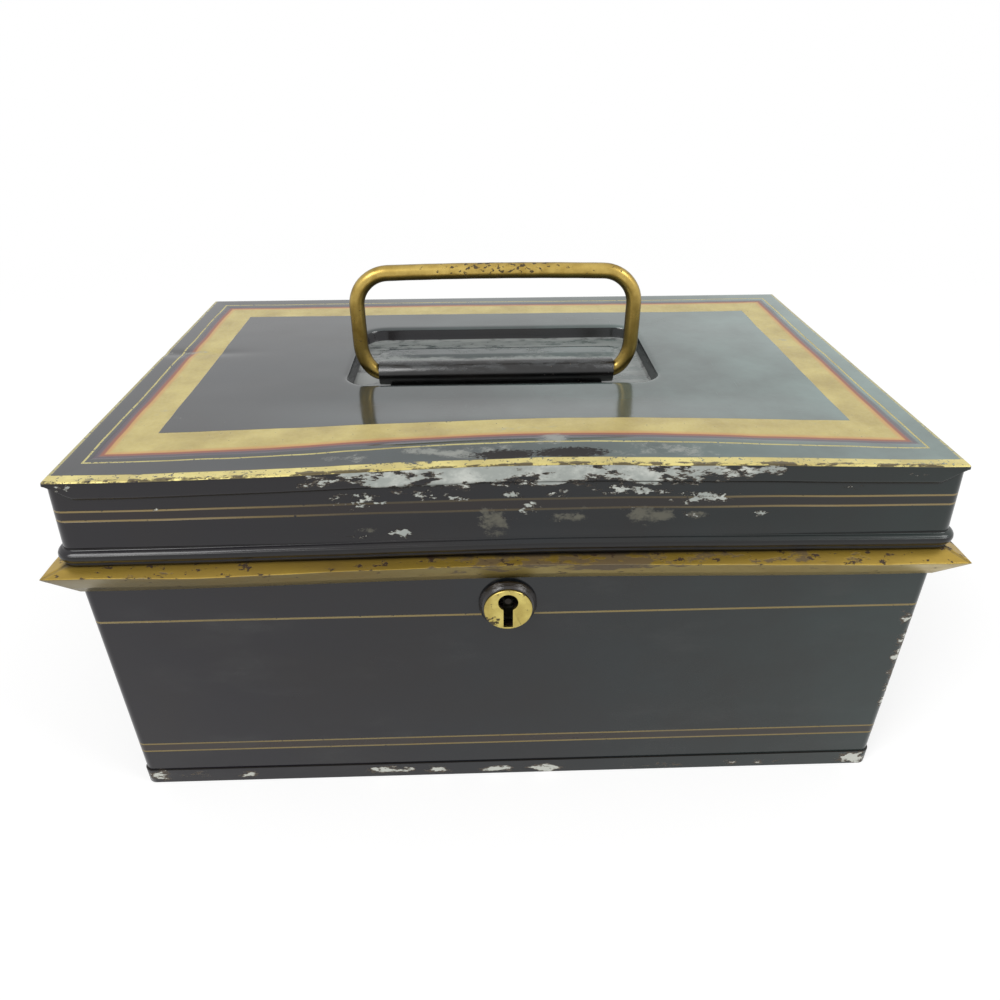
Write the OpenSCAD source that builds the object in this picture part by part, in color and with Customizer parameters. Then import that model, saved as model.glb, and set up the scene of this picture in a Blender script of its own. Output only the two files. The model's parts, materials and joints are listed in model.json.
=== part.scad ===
// Deed box: japanned tin box for papers, with a hinged lid, a folding bail and a spring lock.
// Origin: middle of the underside. +X right, +Y to the back, +Z up. Millimetres.

/* [Body] */
// Width of the body over its walls
body_w = 300; // [280:5:340]
// Depth of the body over its walls
body_d = 193; // [180:1:230]
// Height of the wired rim above the underside
rim_z = 119; // [118:0.5:121]
// Thickness of the tinplate
sheet = 0.6; // [0.5:0.1:0.6]
// Radius of the upright corners, outside
corner_r = 3.2; // [3.2:0.2:4]
// Height of the bottom pan's upturned edge
pan_edge = 7; // [4:0.5:10]

/* [Cornice] */
// Height at which the moulding leaves the wall
cornice_foot_z = 99.2; // [98.5:0.1:100]
// Height of the moulding's crest
cornice_crest_z = 108.6; // [108:0.1:109]
// Height at which the upper face meets the wall
cornice_head_z = 111.5; // [111.2:0.1:111.5]
// How far the crest stands out from the wall
cornice_out = 7.5; // [6:0.5:9]

/* [Lid] */
// Height of the lid's top face
lid_z = 143; // [141:0.5:150]
// Height of the hem's lower edge
hem_z = 111.6; // [111.6:0.1:111.8]
// How far the turned-down edge of the top reaches
top_edge = 6.4; // [4:0.2:8]
// How far the foot of the lid's wall stands out past the body
skirt_out = 1.6; // [1.5:0.1:2]
// Extra room behind the body for the hinge leaves
hinge_room = 1.2; // [1:0.1:1.6]

/* [Handle] */
// Diameter of the bail's wire
wire_d = 6.1; // [5:0.1:6.4]
// Distance between the middles of the bail's legs
bail_span = 111.4; // [105:0.2:114]
// Height of the grip's middle above the pivot
bail_rise = 42; // [38:0.5:46]
// Outer diameter of the pivot sleeve
sleeve_d = 9.8; // [9:0.1:10.4]
// Height of the pivot above the lid's top, below it if negative
pivot_rise = -0.2; // [-0.4:0.1:0.4]
// Width of the sunk handle well
well_w = 130; // [126:1:140]
// Depth of the well from front to back
well_d = 70; // [66:1:74]
// How far the well is sunk
well_sink = 6.5; // [5.8:0.1:6.8]

/* [Lock] */
// Height of the key's axis
key_z = 93.4; // [92:0.1:95]
// Sideways place of the key's axis
key_x = -1.5; // [-4:0.1:4]
// Width of the keyhole's slot
key_slot_w = 3.4; // [3:0.1:3.8]
// Diameter of the keyhole's round part
key_round_d = 7; // [6:0.1:7.4]
// Length of the slot below the key's axis
key_slot_len = 11; // [9:0.1:11.2]
// Travel of the bolt
bolt_throw = 6; // [4:0.5:6]

/* [Hidden] */
$fn = 32;

// Small allowances
eps = 0.01;
run_gap = 0.06;

// Body
front_y = -body_d / 2;
back_y = body_d / 2;
rim_r = 1.4;
rim_mid_z = rim_z - rim_r;
wire_slack = 0.02;
back_seam_x = body_w / 2 - 14;
seam_w = 5;
seam_t = 0.9;

// Lid: its plan is the body's, with the hinge room added at the back
lid_d = body_d + hinge_room;
lid_mid_y = hinge_room / 2;
skirt_head_z = lid_z - sheet;
skirt_foot_z = 117;
skirt_head_out = 0.1;
skirt_lean = (skirt_out - skirt_head_out) / (skirt_head_z - skirt_foot_z);
bead_r = 2.4;
bead_z = 115;
bead_mid_out = 1.4;
hem_out = 2.4;
trim_len = 8;
trim_heel = 1;
trim_reach = 3;

// Handle
wire_r = wire_d / 2;
bail_x = -2.85;
pivot_y = -7.5;
pivot_z = lid_z + pivot_rise;
well_mid_y = 14.5;
well_r = 11;
well_draw = 2;
well_floor_z = lid_z - well_sink;
rib_y = 16.5;
rib_len = 114;
rib_w = 13;
rib_h = 1.2;
grip_bend = 13;
leg_bend = 16;
leg_bend_angle = atan(3 / 4);
foot_bend = 7;
mouth_len = 2;
mouth_r = 4.2;
foot_in = leg_bend * (1 - cos(leg_bend_angle)) + foot_bend * cos(leg_bend_angle);
foot_rise = leg_bend * sin(leg_bend_angle) + foot_bend * (1 - sin(leg_bend_angle));
sleeve_half = bail_span / 2 - foot_in + mouth_len;
wire_end = sleeve_half - mouth_len - 12;
sleeve_neck_in = 0.5;
sleeve_foot_w = 13;
sleeve_foot_len = 2 * sleeve_half - 8;
sleeve_rivet_x = 34.2;
sleeve_rivet_y = 4.1;
sleeve_rivet_r = 0.9;
sleeve_head_r = 1.5;
sleeve_head = 0.5;

// Hinges
hinge_x = 92;
hinge_w = 30;
knuckle_r = 2.2;
pin_r = 1.2;
pin_head_r = 1.8;
pin_head = 0.7;
leaf = 0.7;
hinge_y = back_y + 3.4;
hinge_z = 108.6;
mid_knuckle_w = 10;
knuckle_gap = 0.15;
leaf_foot_z = 88;
leaf_head_z = 135;
shoulder_z = hinge_z - 5;
box_rivet_z = leaf_foot_z + 5;
lid_rivet_z = leaf_head_z - 7;
rivet_r = 1.3;
rivet_head_r = 2.4;
rivet_head = 0.8;
rivet_tail_r = 2;
rivet_tail = 0.6;
lid_back_y = back_y + hinge_room;

// Boss round the keyhole
boss_z = 90;
boss_r = 10.4;
boss_foot = 1;
boss_shoulder = 3;
boss_face_r = 8.7;
boss_face_slope = 0.4;
boss_out = 4.5;
plate_t = 1.2;
plate_bevel = 0.5;
plate_bevel_t = 0.4;

// Lock, measured back from the front wall's outer face
lock_plate_w = 54;
lock_plate_z = [74, 112];
lock_plate_t = 1;
plate_in = sheet + lock_plate_t;
case_w = 48;
case_z = [77, 110];
case_back = 13.4;
case_wall = 1;
case_rivet_in = 6;
case_rivet_r = 0.8;
case_head_r = 1.3;
case_head = 0.6;
bolt_z = [100.2, 107.2];
bolt_mid_z = (bolt_z[0] + bolt_z[1]) / 2;
bolt_in = [6.9, 9.5];
bolt_len = 30;
bolt_head_x = key_x + 9;
bolt_play = 0.15;
talon_half = 3.5;
drill_pin_r = 1.2;
drill_pin_nose = 3.5;
stud_r = 1.6;
stud_x = key_x - 13;
stud_nose_in = 5.3;
ward_r = 5.2;
ward_t = 0.7;
ward_h = 2.6;
spring_half = 8;
spring_bow = 1;
spring_t = 0.35;
spring_in = 0.4;

// Staple on the lid, which the bolt enters
staple = 1.5;
staple_w = 14;
staple_in = 4.6;
staple_foot_z = 97;
staple_head_z = 134;
staple_crank_z = rim_z + 1.4;
mouth_play = 1.4;
tongue_x = bolt_head_x + 1.2;
tongue_in = 11.6;
eye_play = 0.6;

// A slab whose upright corners are round
module round_slab(w, d, r, h) {
    linear_extrude(h) {
        square([w - 2 * r, d], center = true);
        square([w, d - 2 * r], center = true);
        for (x = [-1, 1], y = [-1, 1])
            translate([x * (w / 2 - r), y * (d / 2 - r)]) circle(r);
    }
}

// Carries a section round a w by d rectangle with round corners.
// The section's x is measured outward from the rectangle and its y is the height.
module carry_round(w, d, r) {
    for (turn = [0:3]) {
        across = turn % 2 == 0 ? w : d;
        along = turn % 2 == 0 ? d : w;
        rotate([0, 0, turn * 90]) {
            wall_run(across / 2, along - 2 * r) children();
            translate([across / 2 - r, along / 2 - r, 0])
                rotate_extrude(angle = 90) translate([r, 0]) children();
        }
    }
}

// Runs a section straight along Y, at a distance out along +X
module wall_run(out, len) {
    translate([out, len / 2, 0]) rotate([90, 0, 0]) linear_extrude(len) children();
}

// Runs a section drawn in Y and Z along X, from x on for len
module cross_run(x, len) {
    translate([x, 0, 0]) rotate([90, 0, 90]) linear_extrude(len) children();
}

// A round bar along X
module bar_x(x, len, r) {
    translate([x, 0, 0]) rotate([0, 90, 0]) cylinder(r = r, h = len);
}

// Rivet along +Y: a low domed head outside, a shank and a flat tail inside
module rivet(grip) {
    dome_r = (pow(rivet_head_r, 2) + pow(rivet_head, 2)) / (2 * rivet_head);
    rotate([-90, 0, 0]) {
        intersection() {
            translate([0, 0, rivet_head - dome_r]) sphere(dome_r);
            cylinder(r = rivet_head_r, h = rivet_head);
        }
        translate([0, 0, -grip]) cylinder(r = rivet_r, h = grip);
        translate([0, 0, -grip - rivet_tail]) cylinder(r = rivet_tail_r, h = rivet_tail);
    }
}

// Hole along Y for a rivet
module rivet_hole() {
    rotate([90, 0, 0]) cylinder(r = rivet_r, h = 12, center = true);
}

// BODY

// Wall standing on the pan, with its top edge curled inward round the rim wire
module wall_section() {
    translate([-sheet, sheet]) square([sheet, rim_mid_z - sheet]);
    difference() {
        translate([-rim_r, rim_mid_z]) circle(rim_r);
        translate([-rim_r, rim_mid_z]) circle(rim_r - sheet);
        translate([-rim_r, rim_mid_z - 2 * rim_r]) square([2 * rim_r, 2 * rim_r]);
    }
}

module walls() {
    carry_round(body_w, body_d, corner_r) wall_section();
}

// The stretch of the back between the two upright seams
module back_stretch() {
    translate([-back_seam_x, back_y - 2 * corner_r, 0])
        cube([2 * back_seam_x, 4 * corner_r, 2 * rim_z]);
}

// Keyhole: a round hole for the key's barrel and a slot for its bit, cut along Y
module keyhole_cut() {
    translate([key_x, front_y - 10, key_z]) rotate([-90, 0, 0]) {
        cylinder(d = key_round_d, h = 10 + plate_in + eps);
        translate([-key_slot_w / 2, 0, 0]) cube([key_slot_w, key_slot_len, 10 + plate_in + eps]);
    }
}

// Front and sides are one sheet, bent round four corners and returned onto the back
module body_shell() {
    color("#26282b") difference() {
        walls();
        back_stretch();
        keyhole_cut();
    }
}

// Back sheet, hooked to the shell by a folded seam at each end
module back_panel() {
    color("#1f2123") difference() {
        union() {
            intersection() {
                walls();
                back_stretch();
            }
            for (side = [-1, 1])
                translate([side * back_seam_x, back_y, pan_edge])
                    linear_extrude(rim_z - 2 * rim_r - pan_edge)
                        polygon([[-seam_w / 2, 0], [seam_w / 2, 0],
                                 [seam_w / 2 - seam_t / 2, seam_t], [-seam_w / 2 + seam_t / 2, seam_t]]);
        }
        at_box_rivets() rivet_hole();
    }
}

// Bottom sheet with its edge turned up outside the walls
module bottom_pan() {
    color("#1c1d1f") difference() {
        round_slab(body_w + 2 * sheet, body_d + 2 * sheet, corner_r + sheet, pan_edge);
        translate([0, 0, sheet]) round_slab(body_w, body_d, corner_r, pan_edge);
    }
}

module rim_wire() {
    color("#8d8f90") carry_round(body_w, body_d, corner_r)
        translate([-rim_r, rim_mid_z]) circle(rim_r - sheet - wire_slack);
}

// CORNICE

function unit(v) = v / norm(v);
function left_of(v) = [-v.y, v.x];

cornice_foot = [0, cornice_foot_z];
cornice_crest = [cornice_out, cornice_crest_z];
cornice_head = [0, cornice_head_z];
foot_limb = unit(cornice_crest - cornice_foot);
head_limb = unit(cornice_head - cornice_crest);
limb_in = 4;

// The moulding's outline run on into the wall, so that it can be cut to the wall's face
module cornice_outline() {
    polygon([cornice_foot - limb_in * foot_limb, cornice_crest, cornice_head + limb_in * head_limb]);
}

// One folded sheet: the outline less the same outline moved in by the sheet's thickness
module cornice_section() {
    foot_side = left_of(foot_limb);
    head_side = left_of(head_limb);
    inner_crest = cornice_crest + sheet * (foot_side + head_side) / (1 + foot_side * head_side);
    difference() {
        cornice_outline();
        polygon([inner_crest - 3 * limb_in * foot_limb, inner_crest,
                 inner_crest + 3 * limb_in * head_limb]);
    }
}

// Plan of one length of moulding, with its front corner cut to the mitre
module front_length_plan() {
    reach = 2 * cornice_out;
    polygon([[-body_w / 2 + reach, front_y + reach], [body_w / 2 - reach, front_y + reach],
             [body_w / 2 + reach, front_y - reach], [-body_w / 2 - reach, front_y - reach]]);
}

module right_length_plan() {
    reach = 2 * cornice_out;
    polygon([[body_w / 2 - reach, front_y + reach], [body_w / 2 + reach, front_y - reach],
             [body_w / 2 + reach, back_y], [body_w / 2 - reach, back_y]]);
}

module wall_block() {
    round_slab(body_w, body_d, corner_r, rim_z);
}

module cornice_front() {
    color("#b8963f") difference() {
        intersection() {
            rotate([0, 0, -90]) wall_run(body_d / 2, body_w + 4 * cornice_out) cornice_section();
            linear_extrude(rim_z) front_length_plan();
        }
        wall_block();
    }
}

// A side length, with its back end closed by a cap
module cornice_side() {
    color("#ae8e3c") difference() {
        union() {
            intersection() {
                wall_run(body_w / 2, body_d + 4 * cornice_out) cornice_section();
                linear_extrude(rim_z) right_length_plan();
            }
            translate([0, back_y - sheet / 2, 0]) wall_run(body_w / 2, sheet) cornice_outline();
        }
        wall_block();
    }
}

module cornice_right() {
    cornice_side();
}

module cornice_left() {
    mirror([1, 0, 0]) cornice_side();
}

// LID

// How far the lid's wall stands out at a height
function skirt_out_at(z) = skirt_head_out + (skirt_head_z - z) * skirt_lean;

// Leaning wall, swaged bead and a short upright hem
module skirt_section() {
    polygon([[skirt_head_out, skirt_head_z], [skirt_head_out - sheet, skirt_head_z],
             [skirt_out - sheet, skirt_foot_z], [skirt_out, skirt_foot_z]]);
    difference() {
        translate([bead_mid_out, bead_z]) circle(bead_r);
        translate([bead_mid_out, bead_z]) circle(bead_r - sheet);
        translate([skirt_out - sheet - 2 * bead_r, bead_z - 2 * bead_r])
            square([2 * bead_r, 4 * bead_r]);
        translate([hem_out - sheet - 2 * bead_r, bead_z - 2 * bead_r])
            square([2 * bead_r, 2 * bead_r]);
    }
    translate([hem_out - sheet, hem_z]) square([sheet, bead_z - bead_r + sheet - hem_z]);
}

module lid_skirt() {
    color("#232427") difference() {
        translate([0, lid_mid_y, 0]) carry_round(body_w, lid_d, corner_r) skirt_section();
        at_lid_rivets() rivet_hole();
    }
}

// The top's turned-down edge, lying on the lid's leaning wall
module top_edge_section() {
    edge_z = lid_z - top_edge;
    polygon([[skirt_head_out, skirt_head_z], [skirt_out_at(edge_z), edge_z],
             [skirt_out_at(edge_z) + sheet, edge_z], [skirt_head_out + sheet, skirt_head_z]]);
}

// Clears the turned-down edge in a slope at each end of a side
module edge_trims(half, out) {
    head_z = skirt_head_z - sheet;
    edge_z = lid_z - top_edge;
    for (end = [-1, 1])
        scale([end, 1, 1]) translate([0, out + trim_reach, 0]) rotate([90, 0, 0])
            linear_extrude(2 * trim_reach)
                polygon([[half + trim_reach, head_z], [half + trim_reach, edge_z - trim_reach],
                         [half - trim_len, edge_z - trim_reach], [half - trim_len, edge_z],
                         [half - trim_heel, head_z]]);
}

// Wall of the sunk well, from the rolled lip to the floor
module well_section() {
    polygon([[0, lid_z], [-well_draw, well_floor_z], [-well_draw, well_floor_z - sheet],
             [sheet - well_draw, well_floor_z - sheet], [sheet, skirt_head_z], [sheet, lid_z]]);
}

// A raised bar with round ends and sloping sides
module pressed_bar(len, w, h) {
    for (end = [-1, 1])
        translate([end * (len - w) / 2, 0, 0]) cylinder(r1 = w / 2, r2 = w / 2 - h, h = h);
    cross_run(-(len - w) / 2, len - w)
        polygon([[-w / 2, 0], [w / 2, 0], [w / 2 - h, h], [h - w / 2, h]]);
}

module lid_top() {
    panel_out = 2 * (skirt_head_out + sheet);
    color("#17181a") {
        difference() {
            translate([0, lid_mid_y, 0]) {
                translate([0, 0, skirt_head_z])
                    round_slab(body_w + panel_out, lid_d + panel_out, corner_r + panel_out / 2, sheet);
                carry_round(body_w, lid_d, corner_r) top_edge_section();
            }
            translate([0, well_mid_y, skirt_head_z - sheet])
                round_slab(well_w, well_d, well_r, 3 * sheet);
            translate([0, lid_mid_y, 0]) for (turn = [0, 180]) {
                rotate([0, 0, turn]) edge_trims(body_w / 2, lid_d / 2);
                rotate([0, 0, turn + 90]) edge_trims(lid_d / 2, body_w / 2);
            }
        }
        translate([0, well_mid_y, 0]) carry_round(well_w, well_d, well_r) well_section();
        difference() {
            translate([0, well_mid_y, well_floor_z - sheet]) union() {
                round_slab(well_w - 2 * well_draw, well_d - 2 * well_draw, well_r - well_draw, sheet);
                translate([0, rib_y, sheet]) pressed_bar(rib_len, rib_w, rib_h);
            }
            translate([0, well_mid_y + rib_y, well_floor_z - sheet])
                pressed_bar(rib_len - 2 * sheet, rib_w - 2 * sheet, rib_h);
            translate([bail_x, pivot_y, 0]) at_sleeve_rivets() sleeve_rivet_hole();
        }
    }
}

// HANDLE

// A bend of the bail's wire, in the plane of the bail
module wire_bend(x, z, bend_r, from, sweep) {
    translate([x, 0, z]) rotate([90, 0, 0]) rotate([0, 0, from])
        rotate_extrude(angle = sweep) translate([bend_r, 0]) circle(wire_r);
}

// One side of the bail, on the pivot's axis: foot, two foot bends, leg and grip bend
module bail_side() {
    foot_x = bail_span / 2 - foot_in;
    lean_x = foot_x + foot_bend * cos(leg_bend_angle);
    lean_z = foot_bend * (1 - sin(leg_bend_angle));
    bar_x(wire_end, foot_x - wire_end, wire_r);
    wire_bend(foot_x, foot_bend, foot_bend, -90, 90 - leg_bend_angle);
    wire_bend(lean_x - leg_bend * cos(leg_bend_angle), lean_z + leg_bend * sin(leg_bend_angle),
              leg_bend, -leg_bend_angle, leg_bend_angle);
    translate([bail_span / 2, 0, foot_rise])
        cylinder(r = wire_r, h = bail_rise - grip_bend - foot_rise);
    wire_bend(bail_span / 2 - grip_bend, bail_rise - grip_bend, grip_bend, 0, 90);
}

module bail() {
    grip_half = bail_span / 2 - grip_bend;
    color("#a98a3c") translate([bail_x, pivot_y, pivot_z]) {
        bail_side();
        mirror([1, 0, 0]) bail_side();
        translate([0, 0, bail_rise]) bar_x(-grip_half, 2 * grip_half, wire_r);
    }
}

module at_sleeve_rivets() {
    for (x = [-1, 1], y = [-1, 1])
        translate([x * sleeve_rivet_x, y * sleeve_rivet_y, well_floor_z]) children();
}

module sleeve_rivet_hole() {
    cylinder(r = sleeve_rivet_r, h = 6 * sheet, center = true);
}

// One sheet rolled into a tube with belled mouths, its edges turned out as a foot on the floor
module bail_sleeve() {
    neck_h = pivot_z - wire_r - sleeve_neck_in - well_floor_z;
    color("#151618") translate([bail_x, pivot_y, 0]) difference() {
        union() {
            translate([0, 0, pivot_z]) bar_x(-sleeve_half, 2 * sleeve_half, sleeve_d / 2);
            translate([-sleeve_foot_len / 2, -sheet, well_floor_z])
                cube([sleeve_foot_len, 2 * sheet, neck_h]);
            translate([-sleeve_foot_len / 2, -sleeve_foot_w / 2, well_floor_z])
                cube([sleeve_foot_len, sleeve_foot_w, sheet]);
        }
        translate([0, 0, pivot_z]) bar_x(-sleeve_half - 1, 2 * sleeve_half + 2, wire_r + run_gap);
        for (end = [-1, 1])
            translate([end * (sleeve_half - mouth_len), 0, pivot_z]) rotate([0, end * 90, 0])
                cylinder(r1 = wire_r + run_gap, r2 = mouth_r, h = mouth_len);
        at_sleeve_rivets() sleeve_rivet_hole();
    }
}

module sleeve_rivets() {
    color("#33353a") translate([bail_x, pivot_y, 0]) at_sleeve_rivets() {
        translate([0, 0, -2 * sheet]) cylinder(r = sleeve_rivet_r, h = 3 * sheet);
        translate([0, 0, sheet]) cylinder(r1 = sleeve_head_r, r2 = sleeve_rivet_r, h = sleeve_head);
        translate([0, 0, -sheet - sleeve_head]) cylinder(r = sleeve_head_r, h = sleeve_head);
    }
}

// HINGES

module at_hinge(side) {
    translate([side * hinge_x, 0, 0]) children();
}

// Rivets of the box leaves, on the face of the leaves
module at_box_rivets() {
    for (side = [-1, 1], x = [-1, 1])
        translate([side * hinge_x + x * hinge_w / 3, back_y + leaf, box_rivet_z]) children();
}

// Rivets of the lid leaves, square to the lid's leaning back wall
module at_lid_rivets() {
    for (side = [-1, 1], x = [-1, 1])
        translate([side * hinge_x + x * hinge_w / 3, lid_back_y + skirt_out_at(lid_rivet_z), lid_rivet_z])
            rotate([atan(skirt_lean), 0, 0]) children();
}

// The knuckles of a box leaf stand outside the lid leaf's middle one
module outer_knuckle_spans() {
    start = mid_knuckle_w / 2;
    for (side = [-1, 1])
        translate([side < 0 ? -hinge_w / 2 : start, 0, 0]) children();
}

module hinge_box_leaf(side) {
    outer_len = (hinge_w - mid_knuckle_w) / 2;
    color("#7d6a3a") difference() {
        at_hinge(side) {
            translate([-hinge_w / 2, back_y, leaf_foot_z]) cube([hinge_w, leaf, shoulder_z - leaf_foot_z]);
            outer_knuckle_spans() {
                cross_run(0, outer_len)
                    polygon([[back_y, shoulder_z], [back_y + leaf, shoulder_z],
                             [hinge_y - knuckle_r + leaf, hinge_z], [hinge_y - knuckle_r, hinge_z]]);
                translate([0, hinge_y, hinge_z]) bar_x(0, outer_len, knuckle_r);
            }
        }
        at_hinge(side) translate([0, hinge_y, hinge_z]) bar_x(-hinge_w, 2 * hinge_w, pin_r);
        at_box_rivets() rivet_hole();
    }
}

// Inner face of the lid's back wall at a height
function back_wall_in_y(z) = lid_back_y + skirt_out_at(z) - sheet;

module hinge_lid_leaf(side) {
    tongue_w = mid_knuckle_w - 2 * knuckle_gap;
    tongue_y = hinge_y - knuckle_r;
    low_y = back_wall_in_y(skirt_foot_z);
    high_y = back_wall_in_y(leaf_head_z);
    color("#7d6a3a") difference() {
        at_hinge(side) {
            cross_run(-hinge_w / 2, hinge_w)
                polygon([[low_y - leaf, skirt_foot_z], [low_y, skirt_foot_z],
                         [high_y, leaf_head_z], [high_y - leaf, leaf_head_z]]);
            cross_run(-tongue_w / 2, tongue_w)
                polygon([[tongue_y, hinge_z], [tongue_y + leaf, hinge_z], [tongue_y + leaf, hem_z],
                         [low_y, skirt_foot_z], [low_y - leaf, skirt_foot_z], [tongue_y, hem_z]]);
            translate([0, hinge_y, hinge_z]) bar_x(-tongue_w / 2, tongue_w, knuckle_r);
        }
        at_hinge(side) translate([0, hinge_y, hinge_z]) bar_x(-hinge_w, 2 * hinge_w, pin_r + run_gap);
        at_lid_rivets() rivet_hole();
    }
}

// Pin with a small upset head at each end
module hinge_pin(side) {
    color("#9a9b9c") at_hinge(side) translate([0, hinge_y, hinge_z]) {
        bar_x(-hinge_w / 2 - pin_head, hinge_w + 2 * pin_head, pin_r);
        bar_x(-hinge_w / 2 - pin_head, pin_head, pin_head_r);
        bar_x(hinge_w / 2, pin_head, pin_head_r);
    }
}

module hinge_left_box_leaf() {
    hinge_box_leaf(-1);
}

module hinge_right_box_leaf() {
    hinge_box_leaf(1);
}

module hinge_left_lid_leaf() {
    hinge_lid_leaf(-1);
}

module hinge_right_lid_leaf() {
    hinge_lid_leaf(1);
}

module hinge_left_pin() {
    hinge_pin(-1);
}

module hinge_right_pin() {
    hinge_pin(1);
}

module hinge_box_rivets() {
    color("#8a7b4a") at_box_rivets() rivet(leaf + sheet);
}

module hinge_lid_rivets() {
    color("#8a7b4a") at_lid_rivets() rivet(leaf + sheet);
}

// LOCK

// The front moulding's place and a hair of room below it
module moulding_cut() {
    translate([0, 0, -run_gap]) rotate([0, 0, -90]) wall_run(body_d / 2, body_w) cornice_outline();
}

// Round boss on the front wall, under the brass plate
module escutcheon_collar() {
    color("#241d1b") difference() {
        translate([key_x, front_y, boss_z]) rotate([90, 0, 0]) rotate_extrude()
            polygon([[0, 0], [boss_r, 0], [boss_r, boss_foot],
                     [boss_face_r + boss_face_slope, boss_shoulder],
                     [boss_face_r, boss_out - plate_t], [0, boss_out - plate_t]]);
        keyhole_cut();
        moulding_cut();
    }
}

module keyhole_plate() {
    color("#c6b25a") difference() {
        translate([key_x, front_y, boss_z]) rotate([90, 0, 0]) rotate_extrude()
            polygon([[0, boss_out - plate_t], [boss_face_r, boss_out - plate_t],
                     [boss_face_r, boss_out - plate_bevel_t], [boss_face_r - plate_bevel, boss_out],
                     [0, boss_out]]);
        keyhole_cut();
    }
}

// A block between two distances back from the front face and two heights
module lock_block(x, in, z) {
    translate([x[0], front_y + in[0], z[0]]) cube([x[1] - x[0], in[1] - in[0], z[1] - z[0]]);
}

// A round bar along Y between two distances back from the front face
module lock_bar(x, z, in, r) {
    translate([x, front_y + in[0], z]) rotate([-90, 0, 0]) cylinder(r = r, h = in[1] - in[0]);
}

module at_case_rivets() {
    for (side = [-1, 1], z = [case_z[0] + case_rivet_in, case_z[1] - case_rivet_in])
        translate([key_x + side * (case_w + lock_plate_w) / 4, 0, z]) children();
}

module lock_plate() {
    color("#6f6b5e") difference() {
        lock_block([key_x - lock_plate_w / 2, key_x + lock_plate_w / 2],
                   [sheet, plate_in], lock_plate_z);
        keyhole_cut();
        at_case_rivets() lock_bar(0, 0, [0, case_back], case_rivet_r);
    }
}

// Folded box over the lock, with a foot at each side and a mouth in its top for the staple
module lock_case() {
    half = case_w / 2;
    color("#77736a") difference() {
        union() {
            lock_block([key_x - half, key_x + half], [plate_in, case_back], case_z);
            lock_block([key_x - lock_plate_w / 2, key_x + lock_plate_w / 2],
                       [plate_in, plate_in + case_wall], case_z);
        }
        lock_block([key_x - half + case_wall, key_x + half - case_wall],
                   [plate_in - eps, case_back - case_wall],
                   [case_z[0] + case_wall, case_z[1] - case_wall]);
        lock_block([tongue_x - staple_w, tongue_x + 2 * staple],
                   [staple_in - mouth_play, case_back - case_wall],
                   [case_z[1] - 2 * case_wall, case_z[1] + 1]);
        lock_bar(key_x, key_z, [plate_in, 2 * case_back], drill_pin_r);
        lock_bar(stud_x, bolt_mid_z, [plate_in, 2 * case_back], stud_r);
        at_case_rivets() lock_bar(0, 0, [0, case_back / 2], case_rivet_r);
    }
}

// Pin that the key's barrel turns on
module drill_pin() {
    color("#8b8b88") lock_bar(key_x, key_z, [-drill_pin_nose, case_back], drill_pin_r);
}

// Ring round the key's axis, open below for the bit
module lock_ward() {
    color("#8a8577") translate([key_x, front_y + plate_in, key_z]) rotate([-90, 0, 0]) difference() {
        cylinder(r = ward_r, h = ward_h);
        translate([0, 0, -eps]) cylinder(r = ward_r - ward_t, h = 2 * ward_h);
        translate([-key_slot_w, 0, -eps]) cube([2 * key_slot_w, 2 * ward_r, 2 * ward_h]);
    }
}

// Stud that the bolt slides on
module bolt_stud() {
    color("#8b8b88") lock_bar(stud_x, bolt_mid_z, [stud_nose_in, case_back], stud_r);
}

module lock_rivets() {
    color("#8b8b88") at_case_rivets() {
        lock_bar(0, 0, [sheet, plate_in + case_wall], case_rivet_r);
        lock_bar(0, 0, [plate_in + case_wall, plate_in + case_wall + case_head], case_head_r);
    }
}

// Bolt, drawn back: a bar with a slot for the stud and a talon that the key's bit throws
module lock_bolt() {
    talon_x = key_x - bolt_throw / 2;
    slot_r = stud_r + bolt_play;
    color("#9c8a52") difference() {
        lock_block([bolt_head_x - bolt_len, bolt_head_x], bolt_in, bolt_z);
        lock_block([talon_x - talon_half, talon_x + talon_half], [0, case_back],
                   [bolt_z[0] - eps, key_z + key_slot_len]);
        lock_bar(stud_x, bolt_mid_z, [0, case_back], slot_r);
        lock_bar(stud_x - bolt_throw, bolt_mid_z, [0, case_back], slot_r);
        lock_block([stud_x - bolt_throw, stud_x], [0, case_back],
                   [bolt_mid_z - slot_r, bolt_mid_z + slot_r]);
    }
}

// Bowed leaf on the bolt's back edge, which rubs under the case's roof
module bolt_spring() {
    bow_r = (pow(spring_half, 2) + pow(spring_bow, 2)) / (2 * spring_bow);
    color("#a9a9a4") intersection() {
        translate([stud_x, front_y + bolt_in[0] + spring_in, bolt_z[1] + spring_bow - bow_r])
            rotate([-90, 0, 0]) difference() {
                cylinder(r = bow_r + spring_t, h = bolt_in[1] - bolt_in[0] - 2 * spring_in, $fn = 96);
                translate([0, 0, -1]) cylinder(r = bow_r, h = 2 * case_back, $fn = 96);
            }
        lock_block([stud_x - spring_half, stud_x + spring_half], [0, case_back], [bolt_z[1], case_z[1]]);
    }
}

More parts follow.
